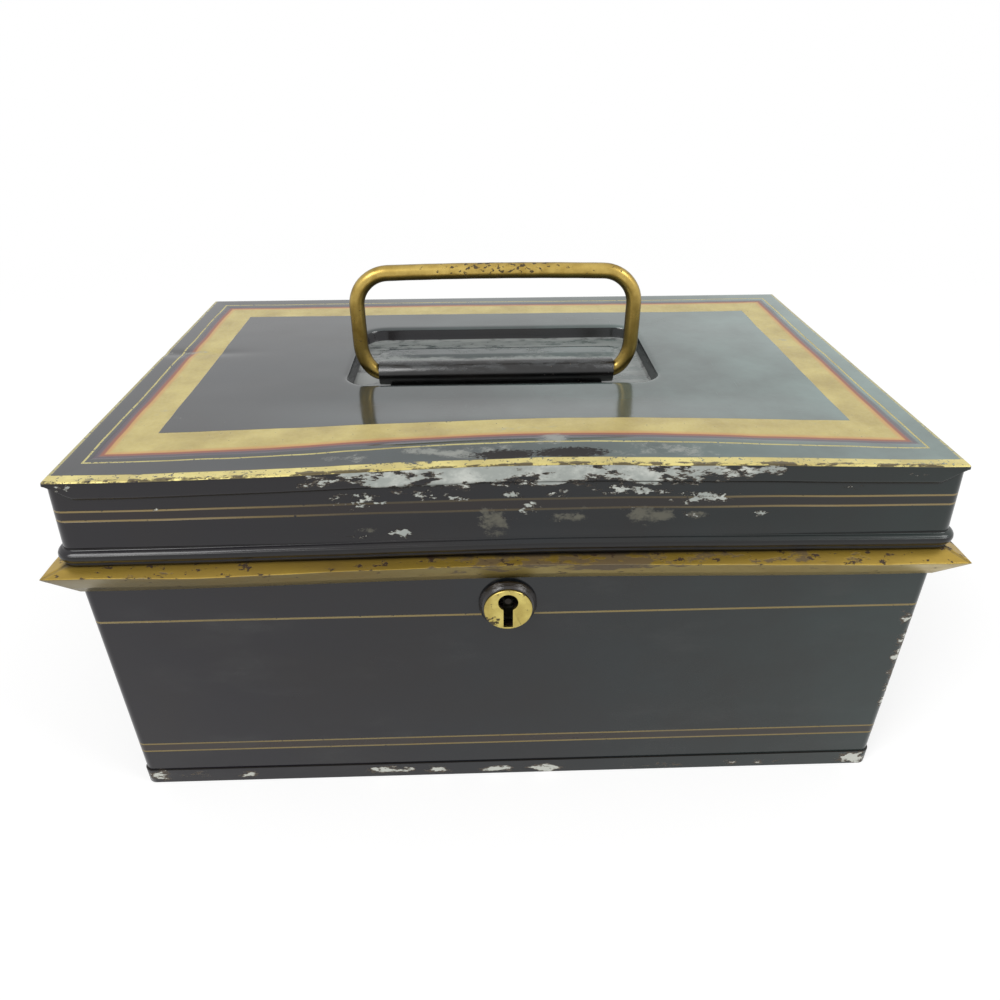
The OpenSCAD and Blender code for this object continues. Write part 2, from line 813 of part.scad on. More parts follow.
// Strap inside the lid's front, cranked over the rim and down into the lock, with an eyed tongue
module lid_staple() {
    low_z = staple_crank_z;
    low_in = sheet - skirt_out_at(low_z);
    bend_in = sheet - skirt_out_at(low_z + staple) + staple;
    head_in = sheet - skirt_out_at(staple_head_z);
    right = tongue_x + staple;
    color("#8b8468") translate([0, front_y, 0]) {
        cross_run(right - staple_w, staple_w)
            polygon([[head_in, staple_head_z], [head_in + staple, staple_head_z],
                     [bend_in, low_z + staple], [staple_in + staple, low_z + staple],
                     [staple_in + staple, staple_foot_z], [staple_in, staple_foot_z],
                     [staple_in, low_z], [low_in, low_z]]);
        difference() {
            translate([tongue_x, staple_in, staple_foot_z])
                cube([staple, tongue_in - staple_in, case_z[1] - staple_foot_z]);
            translate([tongue_x - staple, bolt_in[0] - eye_play, bolt_z[0] - eye_play])
                cube([3 * staple, bolt_in[1] - bolt_in[0] + 2 * eye_play,
                      bolt_z[1] - bolt_z[0] + 2 * eye_play]);
        }
    }
}

body_shell();
back_panel();
bottom_pan();
rim_wire();
cornice_front();
cornice_left();
cornice_right();
hinge_left_box_leaf();
hinge_right_box_leaf();
hinge_left_pin();
hinge_right_pin();
hinge_box_rivets();
escutcheon_collar();
keyhole_plate();
lock_plate();
lock_case();
drill_pin();
lock_ward();
bolt_stud();
lock_rivets();
lid_top();
lid_skirt();
bail_sleeve();
sleeve_rivets();
hinge_left_lid_leaf();
hinge_right_lid_leaf();
hinge_lid_rivets();
lid_staple();
bail();
lock_bolt();
bolt_spring();
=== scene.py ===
# %% [markdown]
# # A japanned deed box
# The box is tinplate: thin steel coated with tin, folded and soldered, then coated with black
# japan varnish that was baked hard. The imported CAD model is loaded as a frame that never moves.
# Some of its pieces only get a finish here. Others are made again on a finer mesh, because old
# tinplate has rolled edges and shallow knocks that a straight solid doesn't show.

# %% Load the frame
import json
import math

import bpy
import numpy as np
from mathutils import Matrix, Vector

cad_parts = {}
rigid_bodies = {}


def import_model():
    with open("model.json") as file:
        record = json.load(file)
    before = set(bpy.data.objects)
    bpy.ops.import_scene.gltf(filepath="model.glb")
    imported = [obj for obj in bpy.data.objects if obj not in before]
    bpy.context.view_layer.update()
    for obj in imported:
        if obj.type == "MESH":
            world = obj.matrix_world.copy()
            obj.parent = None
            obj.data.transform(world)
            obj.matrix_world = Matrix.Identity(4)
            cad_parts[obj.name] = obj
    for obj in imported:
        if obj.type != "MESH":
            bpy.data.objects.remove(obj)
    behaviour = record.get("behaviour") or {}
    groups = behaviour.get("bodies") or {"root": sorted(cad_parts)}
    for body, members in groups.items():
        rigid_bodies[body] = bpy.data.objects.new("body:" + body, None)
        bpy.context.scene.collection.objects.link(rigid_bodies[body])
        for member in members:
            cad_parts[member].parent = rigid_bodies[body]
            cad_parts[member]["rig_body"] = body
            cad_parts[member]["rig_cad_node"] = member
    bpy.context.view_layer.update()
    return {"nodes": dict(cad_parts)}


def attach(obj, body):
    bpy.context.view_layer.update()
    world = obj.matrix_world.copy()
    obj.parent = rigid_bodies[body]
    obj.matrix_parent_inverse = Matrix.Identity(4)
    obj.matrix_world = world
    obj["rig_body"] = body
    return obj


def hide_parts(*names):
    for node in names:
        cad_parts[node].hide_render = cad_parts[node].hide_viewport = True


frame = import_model()
nodes = frame["nodes"]
MM = 0.001

# %% [markdown]
# ## Camera
# The camera stands where the photographer stood. Its place and turn were solved from the box's
# own straight edges, so the render can be laid over the photograph.

# %% Camera
CAMERA_AT = Vector((-10.24, -311.645, 263.629)) * MM
PITCH, YAW, ROLL = math.radians(31.232), math.radians(1.632), math.radians(-0.259)
forward = Vector((math.sin(YAW) * math.cos(PITCH), math.cos(YAW) * math.cos(PITCH), -math.sin(PITCH)))
level = Vector((math.cos(YAW), -math.sin(YAW), 0))
upright = level.cross(forward)
right = level * math.cos(ROLL) + upright * math.sin(ROLL)
up = upright * math.cos(ROLL) - level * math.sin(ROLL)

camera = bpy.data.objects.new("Camera", bpy.data.cameras.new("Camera"))
camera.data.lens = 27.536
camera.data.sensor_width = 36
turn = Matrix((right, up, -forward)).transposed().to_4x4()
camera.matrix_world = Matrix.Translation(CAMERA_AT) @ turn
camera.data.clip_start = 0.01
bpy.context.scene.collection.objects.link(camera)
bpy.context.scene.camera = camera
bpy.context.scene.view_settings.view_transform = "Standard"
print("camera", [round(v, 3) for v in CAMERA_AT], "lens", camera.data.lens)

# %% [markdown]
# ## Nodes
# Materials in Blender are graphs of nodes. They could be wired by hand, one line for each node and
# one for each link. Here one small function adds a node, sets its settings and fills or links its
# inputs, so that a pattern reads like a formula. A mask is a pattern that is 1 where something
# lies on the surface and 0 elsewhere.

# %% Node and colour helpers
def add(tree, kind, *inputs, out=0, at=None, **settings):
    """Adds a node. Each input is a value or another node's output; at gives inputs by name."""
    made = tree.nodes.new("ShaderNode" + kind)
    for name, value in settings.items():
        setattr(made, name, value)
    for place, value in [*enumerate(inputs), *(at or {}).items()]:
        if value is None:
            continue
        if isinstance(value, bpy.types.NodeSocket):
            tree.links.new(value, made.inputs[place])
        else:
            made.inputs[place].default_value = value
    return made.outputs[out] if made.outputs else made


def paint(code):
    """An sRGB hex colour as the linear colour that Blender works in."""
    parts = [int(code[i:i + 2], 16) / 255 for i in (1, 3, 5)]
    return [c / 12.92 if c <= 0.04045 else ((c + 0.055) / 1.055) ** 2.4 for c in parts] + [1.0]


def where_all(tree, *masks):
    """1 only where every mask is 1: the masks multiplied. A plain number among them is a strength."""
    result = masks[0]
    for mask in masks[1:]:
        result = add(tree, "Math", result, mask, operation="MULTIPLY")
    return result


def elsewhere(tree, mask):
    """1 where the mask is 0, and 0 where it is 1."""
    return add(tree, "Math", 1.0, mask, operation="SUBTRACT")


def raised(tree, grain, places, by):
    """A pattern made stronger at some places, so that more of it passes a limit there."""
    return add(tree, "Math", grain, add(tree, "Math", places, by, operation="MULTIPLY"), operation="ADD")


# Settings that turn Map Range into a soft step: 0 before its first limit, 1 after its second
SOFT = {"clamp": True, "interpolation_type": "SMOOTHSTEP"}
print("black japan in linear light:", [round(c, 4) for c in paint("#0d0d0f")])

# %% [markdown]
# ## World, floor and lamps
# A white room surrounds the box. A picture of a room would give livelier reflections, but the
# photograph was taken on white, and plain white shows the varnish's own marks best. What the
# camera and the varnish see is white at strength 1, and the light that falls on the box is a
# little weaker and soft. The floor glows a little for the camera so that it stays white, and its
# own shading still carries the shadow.

# %% World and floor
def seen_rays(tree):
    """1 for rays from the camera, gloss or glass, and 0 for the rays that light things."""
    ray = tree.nodes.new("ShaderNodeLightPath").outputs
    return add(tree, "Math",
               add(tree, "Math", ray["Is Camera Ray"], ray["Is Glossy Ray"], operation="ADD", use_clamp=True),
               ray["Is Transmission Ray"], operation="ADD", use_clamp=True)


world = bpy.data.worlds.new("White_room")
world.use_nodes = True
bpy.context.scene.world = world
sky = world.node_tree
sky.nodes.clear()
ROOM_LIGHT = 0.62
glow = add(sky, "MapRange", seen_rays(sky), 0.0, 1.0, ROOM_LIGHT, 1.0)
room = add(sky, "Background", [1, 1, 1, 1], glow)
add(sky, "OutputWorld", room)

floor_mesh = bpy.data.meshes.new("Floor")
FLOOR_HALF = 6.0
FLOOR_DROP = -0.2 * MM
floor_corners = [(x * FLOOR_HALF, y * FLOOR_HALF, FLOOR_DROP) for x, y in ((-1, -1), (1, -1), (1, 1), (-1, 1))]
floor_mesh.from_pydata(floor_corners, [], [(0, 1, 2, 3)])
floor = bpy.data.objects.new("Floor", floor_mesh)
bpy.context.scene.collection.objects.link(floor)
paper = bpy.data.materials.new("White_paper_sweep")
paper.use_nodes = True
tree = paper.node_tree
tree.nodes.clear()
seen = seen_rays(tree)
PAPER_GREY, PAPER_GLOW = 0.42, 0.66
shade = add(tree, "BsdfDiffuse", [PAPER_GREY, PAPER_GREY, PAPER_GREY, 1])
near = add(tree, "AddShader", shade,
           add(tree, "Emission", [1, 1, 1, 1], add(tree, "Math", seen, PAPER_GLOW, operation="MULTIPLY")))
spot = tree.nodes.new("ShaderNodeTexCoord").outputs["Object"]
away = add(tree, "VectorMath", spot, operation="LENGTH", out=1)
far = add(tree, "MapRange", away, 0.3, 1.1, **SOFT)  # metres from the box, where the paper turns plain white
plain = add(tree, "Emission", [1, 1, 1, 1], 1.0)
add(tree, "OutputMaterial", add(tree, "MixShader", where_all(tree, far, seen), near, plain))
floor.data.materials.append(paper)
print("floor at", FLOOR_DROP / MM, "mm")


# %% Soft lamps
def soft_box(name, place, aim, size, watts):
    """A square lamp facing a point, in metres."""
    data = bpy.data.lights.new(name, "AREA")
    data.size = size
    data.energy = watts
    lamp = bpy.data.objects.new(name, data)
    lamp.location = place
    lamp.rotation_euler = (Vector(aim) - Vector(place)).to_track_quat("-Z", "Y").to_euler()
    bpy.context.scene.collection.objects.link(lamp)
    print(name, "at", place, watts, "W")


soft_box("Window_left", (-0.9, -0.9, 1.3), (0, 0, 0.1), 0.7, 11)
soft_box("Window_right", (1.1, -0.5, 1.0), (0, 0, 0.1), 0.6, 5)

# %% [markdown]
# ## Sheets carried round a rectangle
# Nearly every piece of the box is a folded sheet that runs round a rectangle with round corners.
# So the maker's section is drawn once, as points of how far it stands out and how high it is, and
# carried round. A sheet has two faces, so the section is offset by the sheet's thickness.

# %% Sweep helpers
SHEET = 0.6
BODY_W, BODY_D, CORNER = 300.0, 193.0, 3.2


def round_plan(width, depth, corner, middle_y, counts, turns=7):
    """Points round a rectangle with round corners, and the outward direction at each.

    counts is how many points a left or right side has, and how many a front or back has.
    """
    half_x, half_y = width / 2 - corner, depth / 2 - corner
    places, outward = [], []
    for side, (cx, cy) in enumerate([(1, 1), (-1, 1), (-1, -1), (1, -1)]):
        start = side * 90
        run = 2 * (half_y if side % 2 == 0 else half_x)
        count = counts[side % 2]
        a = math.radians(start)
        normal = np.array([math.cos(a), math.sin(a)])
        along = np.array([-normal[1], normal[0]])
        end = np.array([cx * half_x, cy * half_y]) + corner * normal
        for k in range(count):
            places.append(end - along * run * (1 - k / count))
            outward.append(normal)
        for k in range(turns):
            b = a + math.pi / 2 * k / turns
            ray_out = np.array([math.cos(b), math.sin(b)])
            places.append(np.array([cx * half_x, cy * half_y]) + corner * ray_out)
            outward.append(ray_out)
    places = np.array(places) + [0, middle_y]
    return places, np.array(outward)


def sheet_loop(path, thick=SHEET):
    """A path of (out, height) points as a closed loop, with its second face thick further in."""
    path = np.array(path, float)
    ahead = np.gradient(path, axis=0)
    ahead /= np.linalg.norm(ahead, axis=1, keepdims=True)
    inner = path + thick * np.stack([-ahead[:, 1], ahead[:, 0]], axis=1)
    return np.vstack([path, inner[::-1]])


def arc(out, height, radius, start, end, steps):
    """Points of an arc in a section, with angles in degrees from straight out."""
    angles = np.radians(np.linspace(start, end, steps))
    return [(out + radius * math.cos(a), height + radius * math.sin(a)) for a in angles]


def ring_faces(rings, count, closed):
    """Quads between rings of count points. A closed section also joins the last ring to the first."""
    faces = []
    for i in range(rings if closed else rings - 1):
        j = (i + 1) % rings
        for k in range(count):
            m = (k + 1) % count
            faces.append((i * count + k, i * count + m, j * count + m, j * count + k))
    return faces


def piece(name, points, faces, body, node):
    """An object from points in millimetres that rides on a body and stands for a CAD node."""
    mesh = bpy.data.meshes.new(name)
    mesh.from_pydata([tuple(p) for p in np.asarray(points) * MM], [], faces)
    mesh.validate()
    mesh.shade_smooth()
    made = bpy.data.objects.new(name, mesh)
    bpy.context.scene.collection.objects.link(made)
    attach(made, body)
    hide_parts(node)
    print(name, len(mesh.vertices), "points,", len(mesh.polygons), "faces")
    return made


# %% [markdown]
# ## Knocks
# The front of the lid has been pushed in over the years, most in the middle. The same function
# moves the points of the lid's top and of its wall, so the two sheets stay together.

# %% Knocks of the lid
def rise(value, start, end):
    """0 at start, 1 at end, with a soft rise between them."""
    t = np.clip((value - start) / (end - start), 0, 1)
    return t * t * (3 - 2 * t)


# Each knock: its middle across and up (or back), its half width and half height, and its depth, in mm
FRONT_KNOCKS = [(-12, 141, 34, 9, 0.9), (38, 127, 22, 7, 0.5), (-48, 124, 26, 6, 0.45), (86, 131, 18, 8, 0.35)]
TOP_KNOCKS = [(-8, -97, 40, 10, 0.5), (52, -92, 20, 9, 0.5), (-70, -88, 30, 11, 0.45), (104, 60, 40, 26, 0.35),
              (-138, 19, 20, 3.5, 0.5), (134, 20, 9, 20, 0.45), (-20, -66, 26, 5, 0.4)]
# The push of the front: its middle, the stretch of the depth that gave way, how far the wall went in at
# its foot and at its head, how far its foot rose, and how far the top rose behind the edge
BELLY_X, BELLY_HALF = 12.0, 150.0
FIRM_Y, LOOSE_Y = 70, 94
FOOT_IN, HEAD_IN, FOOT_UP, TOP_UP = 0.5, 3.8, 1.4, 3.2


def dent(a, b, knocks):
    """How deep the knocks are at each point."""
    deep = np.zeros(len(a))
    for ma, mb, wa, wb, depth in knocks:
        deep += depth * np.exp(-((a - ma) / wa) ** 2 - ((b - mb) / wb) ** 2)
    return deep


def knock_lid(points):
    """Pushes the lid's front in, which lifts the top behind it, and presses shallow knocks."""
    x, y, z = points.T
    at_front = rise(-y, FIRM_Y, LOOSE_Y)
    belly = rise(-np.abs(x - BELLY_X), -BELLY_HALF, 0)
    bow = belly * (FOOT_IN + (HEAD_IN - FOOT_IN) * rise(z, 118, 142))
    wave = 0.12 * (np.sin(x / 17.0 + 1.1) + np.sin(x / 7.3 + z / 9.0)) + 0.24
    moved = points.copy()
    moved[:, 1] += at_front * (bow + dent(x, z, FRONT_KNOCKS) + 0.4 * wave)
    moved[:, 2] += at_front * FOOT_UP * belly * rise(-z, -128, -114)
    moved[:, 2] += TOP_UP * belly * rise(-y, 34, 72) * (1 - 0.5 * rise(-y, 80, 97)) * rise(z, 126, 141)
    on_top = rise(z, 141.2, 142.6)
    pan = 0.18 * (1 + np.sin(x / 31.0 + y / 47.0 + 0.6) * np.cos(y / 29.0 - 0.4))
    edge = rise(np.minimum(np.minimum(150.7 - np.abs(x), 98.4 - y), y + 97.2), 0, 14)
    moved[:, 2] -= on_top * (dent(x, y, TOP_KNOCKS) + pan * edge)
    return moved


print("the front's head went in by", HEAD_IN, "mm and its deepest knock is", max(k[4] for k in FRONT_KNOCKS),
      "mm")

# %% [markdown]
# ## Lid top
# One sheet: its edge is turned down all round and cut away at the corners, and a well for the
# handle is pressed into it. It could be a grid pushed down in the middle, but the steep walls of
# the well would tear. Here rings run from the turned-down edge to the lip of the well and on to
# the middle of its floor, so the mesh follows every fold.

# %% Lid top
LID_Z, LID_D, LID_MID = 143.0, 194.2, 0.6
SKIRT_HEAD = LID_Z - SHEET
LEAN = (1.6 - 0.1) / (SKIRT_HEAD - 117)
WELL_W, WELL_D, WELL_R, WELL_MID, WELL_FLOOR = 130.0, 70.0, 11.0, 14.5, 136.5
BAR_Y, BAR_LEN, BAR_W, BAR_H = 31.0, 114.0, 13.0, 1.2
FLANGE, FLANGE_END, FLANGE_TAPER = 6.4, 1.5, 7.0
FOLD_R, FOLD_OUT, FOLD_TOP = 1.05, -0.35, 1.1
EDGE_SHARES = (1.0, 0.8, 0.55, 0.3)
FOLD_POINTS, PANEL_RINGS, FLOOR_RINGS = 6, 45, 29
# The pressed lip and wall of the well: how far out from its outline, and how far below the top
WELL_LIP = [(1.8, -0.03), (0.9, -0.16), (0.3, -0.5), (-0.05, -1.1), (-0.4, -2.2), (-0.9, -3.9),
            (-1.3, -5.2), (-1.7, -5.95), (-2.4, -6.35), (-3.4, -6.5)]


def lid_top_rings():
    """Closed rings of points, from the foot of the turned-down edge to the middle of the well's floor."""
    counts = (96, 150)
    edge_xy, edge_out = round_plan(BODY_W, LID_D, 0.5, LID_MID, counts)
    lip_xy, lip_out = round_plan(WELL_W, WELL_D, WELL_R, WELL_MID, counts)
    x, y = edge_xy.T
    from_corner = np.where(np.abs(edge_out[:, 1]) > np.abs(edge_out[:, 0]), BODY_W / 2 - np.abs(x),
                           LID_D / 2 - np.abs(y - LID_MID))
    flange = FLANGE_END + (FLANGE - FLANGE_END) * np.clip((from_corner - 1) / FLANGE_TAPER, 0, 1)
    rings = []

    def ring(places, heights):
        rings.append(np.column_stack([places, np.broadcast_to(heights, len(places))]))

    for share in EDGE_SHARES:
        drop = FOLD_TOP + (flange - FOLD_TOP) * share
        out = 0.1 + (drop - SHEET) * LEAN + SHEET
        ring(edge_xy + edge_out * out[:, None], LID_Z - drop)
    for out, z in arc(FOLD_OUT, LID_Z - FOLD_R, FOLD_R, 0, 90, FOLD_POINTS):
        ring(edge_xy + edge_out * out, z)
    lip_start = lip_xy + lip_out * 3.0
    panel_start = edge_xy + edge_out * FOLD_OUT
    for share in np.linspace(0, 1, PANEL_RINGS + 1)[1:]:
        ring(panel_start * (1 - share) + lip_start * share, LID_Z)
    for out, z in WELL_LIP:
        ring(lip_xy + lip_out * out, LID_Z + z)
    floor_start = lip_xy + lip_out * WELL_LIP[-1][0]
    spine = np.column_stack([np.clip(lip_xy[:, 0], -30, 30), np.full(len(lip_xy), WELL_MID)])
    for share in np.linspace(0, 1, FLOOR_RINGS + 1)[1:]:
        places = floor_start * (1 - share) + spine * share
        past_end = np.maximum(np.abs(places[:, 0]) - (BAR_LEN - BAR_W) / 2, 0)
        away = np.hypot(past_end, places[:, 1] - BAR_Y)
        ring(places, WELL_FLOOR + BAR_H * rise(-away, -BAR_W / 2, -BAR_W / 2 + 2.2))
    return rings


rings = lid_top_rings()
count = len(rings[0])
lid_top = piece("Lid_top", knock_lid(np.vstack(rings)), ring_faces(len(rings), count, False),
                "lid", "lid_top")

# The upright faces, of the turned-down edge and of the well's wall, take the wall's darker varnish
fold_end = len(EDGE_SHARES) + FOLD_POINTS - 2
well_wall = len(EDGE_SHARES) + FOLD_POINTS + PANEL_RINGS + 3
upright_rings = {*range(fold_end), *range(well_wall, well_wall + 5)}
for side in lid_top.data.polygons:
    side.material_index = int(min(side.vertices) // count in upright_rings)
weld = lid_top.modifiers.new("Close the floor", "WELD")
weld.merge_threshold = 0.05 * MM
thick = lid_top.modifiers.new("Tinplate", "SOLIDIFY")
thick.thickness = 0.5 * MM
thick.offset = -1

# %% [markdown]
# ## Lid wall
# A leaning strip with a round bead swaged along its foot and a short hem below it. The bead
# stiffens the lid. It could be a bent profile with a bevel, but here the section is a list of
# points with an arc in it, so the crease above the bead and the nick below it are real folds.

# %% Lid wall
BEAD_R, BEAD_Z, BEAD_OUT, HEM_OUT, HEM_Z = 2.4, 115.0, 1.4, 2.4, 111.6
skirt_path = [(0.1 + (SKIRT_HEAD - z) * LEAN, z) for z in np.linspace(SKIRT_HEAD - 0.1, 118.2, 15)]
skirt_path += arc(BEAD_OUT, BEAD_Z, BEAD_R, 86, -74, 15)
skirt_path += [(2.0, 112.62), (HEM_OUT, 112.45), (HEM_OUT, 112.1), (HEM_OUT, HEM_Z)]
plan, outward = round_plan(BODY_W, LID_D, CORNER, LID_MID, (70, 150))
loop = sheet_loop(skirt_path, -SHEET)
skirt_rings = [np.column_stack([plan + outward * out, np.full(len(plan), z)]) for out, z in loop]
lid_wall = piece("Lid_wall", knock_lid(np.vstack(skirt_rings)), ring_faces(len(skirt_rings), len(plan), True),
                 "lid", "lid_skirt")

# %% [markdown]
# ## Staple
# The staple is soldered to the inside of the lid's front wall, so its strap went in with the knock.
# Its shape is right as it is, so the CAD mesh is copied and only the strap's points are moved.

# %% Staple
staple = nodes["lid_staple"].copy()
staple.data = nodes["lid_staple"].data.copy()
staple.name = "Staple_strap"
spots = np.array([v.co[:] for v in staple.data.vertices]) / MM
strap = rise(spots[:, 2], 118, 121)[:, None]
moved = spots * (1 - strap) + knock_lid(spots) * strap
moved[:, 2] = spots[:, 2]
staple.data.vertices.foreach_set("co", (moved * MM).ravel())
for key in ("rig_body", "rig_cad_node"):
    del staple[key]
bpy.context.scene.collection.objects.link(staple)
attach(staple, "lid")
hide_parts("lid_staple")
print("staple strap moved in by", round(float((moved - spots)[:, 1].max()), 2), "mm")

# %% [markdown]
# ## Cornice
# A gilt moulding, folded to a V and mitred at the two front corners. A curve could be bevelled
# with the V, but points along each length can also be bent: the front is pushed in and up along
# its middle, its left tip has been knocked up, and every crest is slightly wavy.

# %% Cornice
CREST_Z, FOOT_Z, HEAD_Z = 108.6, 99.2, 111.5
cornice_path = [(0, FOOT_Z), (2.5, FOOT_Z + 3.13), (5, FOOT_Z + 6.27), (6.7, 107.6)]
cornice_path += [(7.22, 108.3), (7.4, 108.62), (7.3, 108.72), (6.9, 108.9), (4.6, 109.8), (2.3, 110.65),
                 (0, HEAD_Z)]
CORNICE_STEPS = 160
BENT_IN, BENT_UP, TIP_UP = 1.6, 2.0, 1.3


def cornice_length(name, node, start, end, mitre_start, mitre_end):
    """One length from start to end at the wall, in plan, with mitred or square ends."""
    start, end = np.array(start, float), np.array(end, float)
    along = (end - start) / np.linalg.norm(end - start)
    away = np.array([along[1], -along[0]])
    is_front = abs(along[0]) > 0.5
    loop = sheet_loop(cornice_path, SHEET)
    steps = CORNICE_STEPS
    points = []
    for out, z in loop:
        a = start - along * out * mitre_start
        b = end + along * out * mitre_end
        share = np.linspace(0, 1, steps)[:, None]
        line = a * (1 - share) + b * share + away * out
        points.append(np.column_stack([line, np.full(steps, z)]))
    points = np.array(points)
    crest = np.clip(points[:, :, 2] - FOOT_Z, 0, None) / (CREST_Z - FOOT_Z)
    crest = np.minimum(crest, np.clip((HEAD_Z - points[:, :, 2]) / (HEAD_Z - CREST_Z), 0, 1))
    lengthwise = points[:, :, 0] * abs(along[0]) + points[:, :, 1] * abs(along[1])
    wavy = 0.14 * (1 + np.sin(lengthwise / 13.0 + 0.7)) + 0.1 * (1 + np.sin(lengthwise / 5.3))
    if is_front:
        bow = np.cos(np.clip(lengthwise / 140, -1, 1) * math.pi / 2) ** 2
        wavy = wavy + BENT_IN * bow
        points[:, :, 2] += bow * (BENT_UP - BENT_UP * rise(points[:, :, 2], 108, HEAD_Z - 0.4))
        to_left_tip = rise(-points[:, :, 0], 95, 150)
        end_free = rise(150 - np.abs(points[:, :, 0]), 0, 12)
    else:
        to_left_tip = rise(-points[:, :, 1], 55, 96) * (points[:, :, 0] < 0)
        end_free = rise(96 - np.abs(points[:, :, 1]), 0, 12)
    points[:, :, 2] += TIP_UP * crest * to_left_tip
    points[:, :, :2] -= away * (wavy * crest * end_free)[:, :, None]
    rows = len(loop)
    faces = []
    for i in range(rows):
        j = (i + 1) % rows
        for k in range(steps - 1):
            faces.append((i * steps + k, i * steps + k + 1, j * steps + k + 1, j * steps + k))
    faces.append([i * steps for i in range(rows)])
    faces.append([i * steps + steps - 1 for i in range(rows)][::-1])
    return piece(name, points.reshape(-1, 3), faces, "box", node)


HALF_W, HALF_D = BODY_W / 2, BODY_D / 2
cornices = [
    cornice_length("Cornice_front", "cornice_front", (-HALF_W, -HALF_D), (HALF_W, -HALF_D), 1, 1),
    cornice_length("Cornice_right", "cornice_right", (HALF_W, -HALF_D), (HALF_W, HALF_D), 1, 0),
    cornice_length("Cornice_left", "cornice_left", (-HALF_W, HALF_D), (-HALF_W, -HALF_D), 0, 1),
]

# %% [markdown]
# ## Bail
# The handle is one brass wire, bent cold. A curve with a bevel would do, but a swept mesh
# can have the slight arch of the grip and the uneven thickness of worn wire.

# %% Bail
WIRE_R, SPAN, BAIL_X, PIVOT_Y, PIVOT_Z, BAIL_RISE = 3.05, 111.4, -2.85, -7.5, 142.8, 42.0
GRIP_BEND, LEG_BEND, FOOT_BEND = 13.0, 16.0, 7.0
LEG_ANGLE = math.degrees(math.atan(3 / 4))


def wire_side():
    """Middle line of the right half of the bail, from the sleeve up to the middle of the grip."""
    foot_in = LEG_BEND * 0.2 + FOOT_BEND * 0.8
    foot = SPAN / 2 - foot_in
    line = [(34.9 + k, 0.0) for k in np.arange(0, foot - 35.5, 2.0)]
    line += arc(foot, FOOT_BEND, FOOT_BEND, -90, -LEG_ANGLE, 9)
    centre = (SPAN / 2 - LEG_BEND, FOOT_BEND * 0.4 + LEG_BEND * 0.6)
    line += arc(*centre, LEG_BEND, -LEG_ANGLE, 0, 9)[1:]
    line += [(SPAN / 2, z) for z in np.linspace(centre[1] + 2, BAIL_RISE - GRIP_BEND - 1, 8)]
    line += arc(SPAN / 2 - GRIP_BEND, BAIL_RISE - GRIP_BEND, GRIP_BEND, 0, 90, 15)
    line += [(x, BAIL_RISE) for x in np.linspace(SPAN / 2 - GRIP_BEND - 2, 0, 22)]
    return line


half = wire_side()
middle = np.array(half + [(-x, z) for x, z in half[-2::-1]])
middle[:, 1] -= 0.9 * (middle[:, 0] / (SPAN / 2)) ** 2 * rise(middle[:, 1], 12, 42)
ahead = np.gradient(middle, axis=0)
ahead /= np.linalg.norm(ahead, axis=1, keepdims=True)
across = np.column_stack([ahead[:, 1], -ahead[:, 0]])
ROUND = 24
bail_points = []
for k, ((x, z), (nx, nz)) in enumerate(zip(middle, across)):
    for a in np.arange(ROUND) / ROUND * 2 * math.pi:
        r = WIRE_R * (1 - 0.012 * (1 + math.sin(k * 0.9 + 2 * a)) / 2)
        bail_points.append((BAIL_X + x + nx * math.cos(a) * r, PIVOT_Y + math.sin(a) * r,
                            PIVOT_Z + z + nz * math.cos(a) * r))
bail_faces = ring_faces(len(middle), ROUND, False)
bail_faces += [tuple(range(ROUND))[::-1], tuple((len(middle) - 1) * ROUND + k for k in range(ROUND))]
bail = piece("Bail_wire", bail_points, bail_faces, "bail", "bail")

# %% [markdown]
# ## Layers of a finish
# Old painted tin is a stack of layers: bare tin, japan varnish, gold paint, then scuffs and dust.
# Each layer here is four numbers or patterns: colour, roughness, metal and height in mm. One
# layer is laid over another where a mask says so, which is how the real surface came about.

# %% Layer helpers
def finish(name, ior=1.5):
    """A new material: its node tree, and the Principled shader at its end."""
    made = bpy.data.materials.new(name)
    made.use_nodes = True
    shader = made.node_tree.nodes["Principled BSDF"]
    shader.inputs["IOR"].default_value = ior
    return made, made.node_tree, shader


def place_on(tree):
    """Where a point is: x, y and z in mm, that place as a vector, and the way its face looks."""
    frame_of = tree.nodes.new("ShaderNodeTexCoord")
    mm = add(tree, "VectorMath", frame_of.outputs["Object"], [1000, 1000, 1000], operation="MULTIPLY")
    x, y, z = add(tree, "SeparateXYZ", mm).node.outputs
    face = add(tree, "SeparateXYZ", frame_of.outputs["Normal"]).node.outputs
    return x, y, z, mm, face


def lay(tree, under, over, where):
    """The layer over laid on the layer under, where the mask is 1."""
    both = {"colour": add(tree, "Mix", at={0: where, 6: under["colour"], 7: over["colour"]}, out=2,
                          data_type="RGBA")}
    for part in ("rough", "metal", "height"):
        both[part] = add(tree, "Mix", at={0: where, 2: under[part], 3: over[part]})
    return both


def layer(colour, rough, metal=0.0, height=0.0):
    return {"colour": colour, "rough": rough, "metal": metal, "height": height}


def dress(tree, shader, top):
    """Links the finished stack to the shader. Heights are in mm, so the bump's distance is 1 mm."""
    for part, place in (("colour", "Base Color"), ("rough", "Roughness"), ("metal", "Metallic")):
        if isinstance(top[part], bpy.types.NodeSocket):
            tree.links.new(top[part], shader.inputs[place])
        else:
            shader.inputs[place].default_value = top[part]
    bump = add(tree, "Bump", at={"Height": top["height"], "Distance": MM, "Strength": 1.0})
    tree.links.new(bump, shader.inputs["Normal"])


def blotches(tree, where, grain, spread=(1, 1, 1), detail=4.0, rough=0.6, seed=0.0):
    """Random cloudy patches about grain mm wide, stretched by spread. Values lie round 0.5."""
    moved = add(tree, "VectorMath", where, [1 / (grain * s) for s in spread], [seed, seed * 1.7, seed * 0.6],
                operation="MULTIPLY_ADD")
    return add(tree, "TexNoise", at={"Vector": moved, "Scale": 1.0, "Detail": detail, "Roughness": rough})


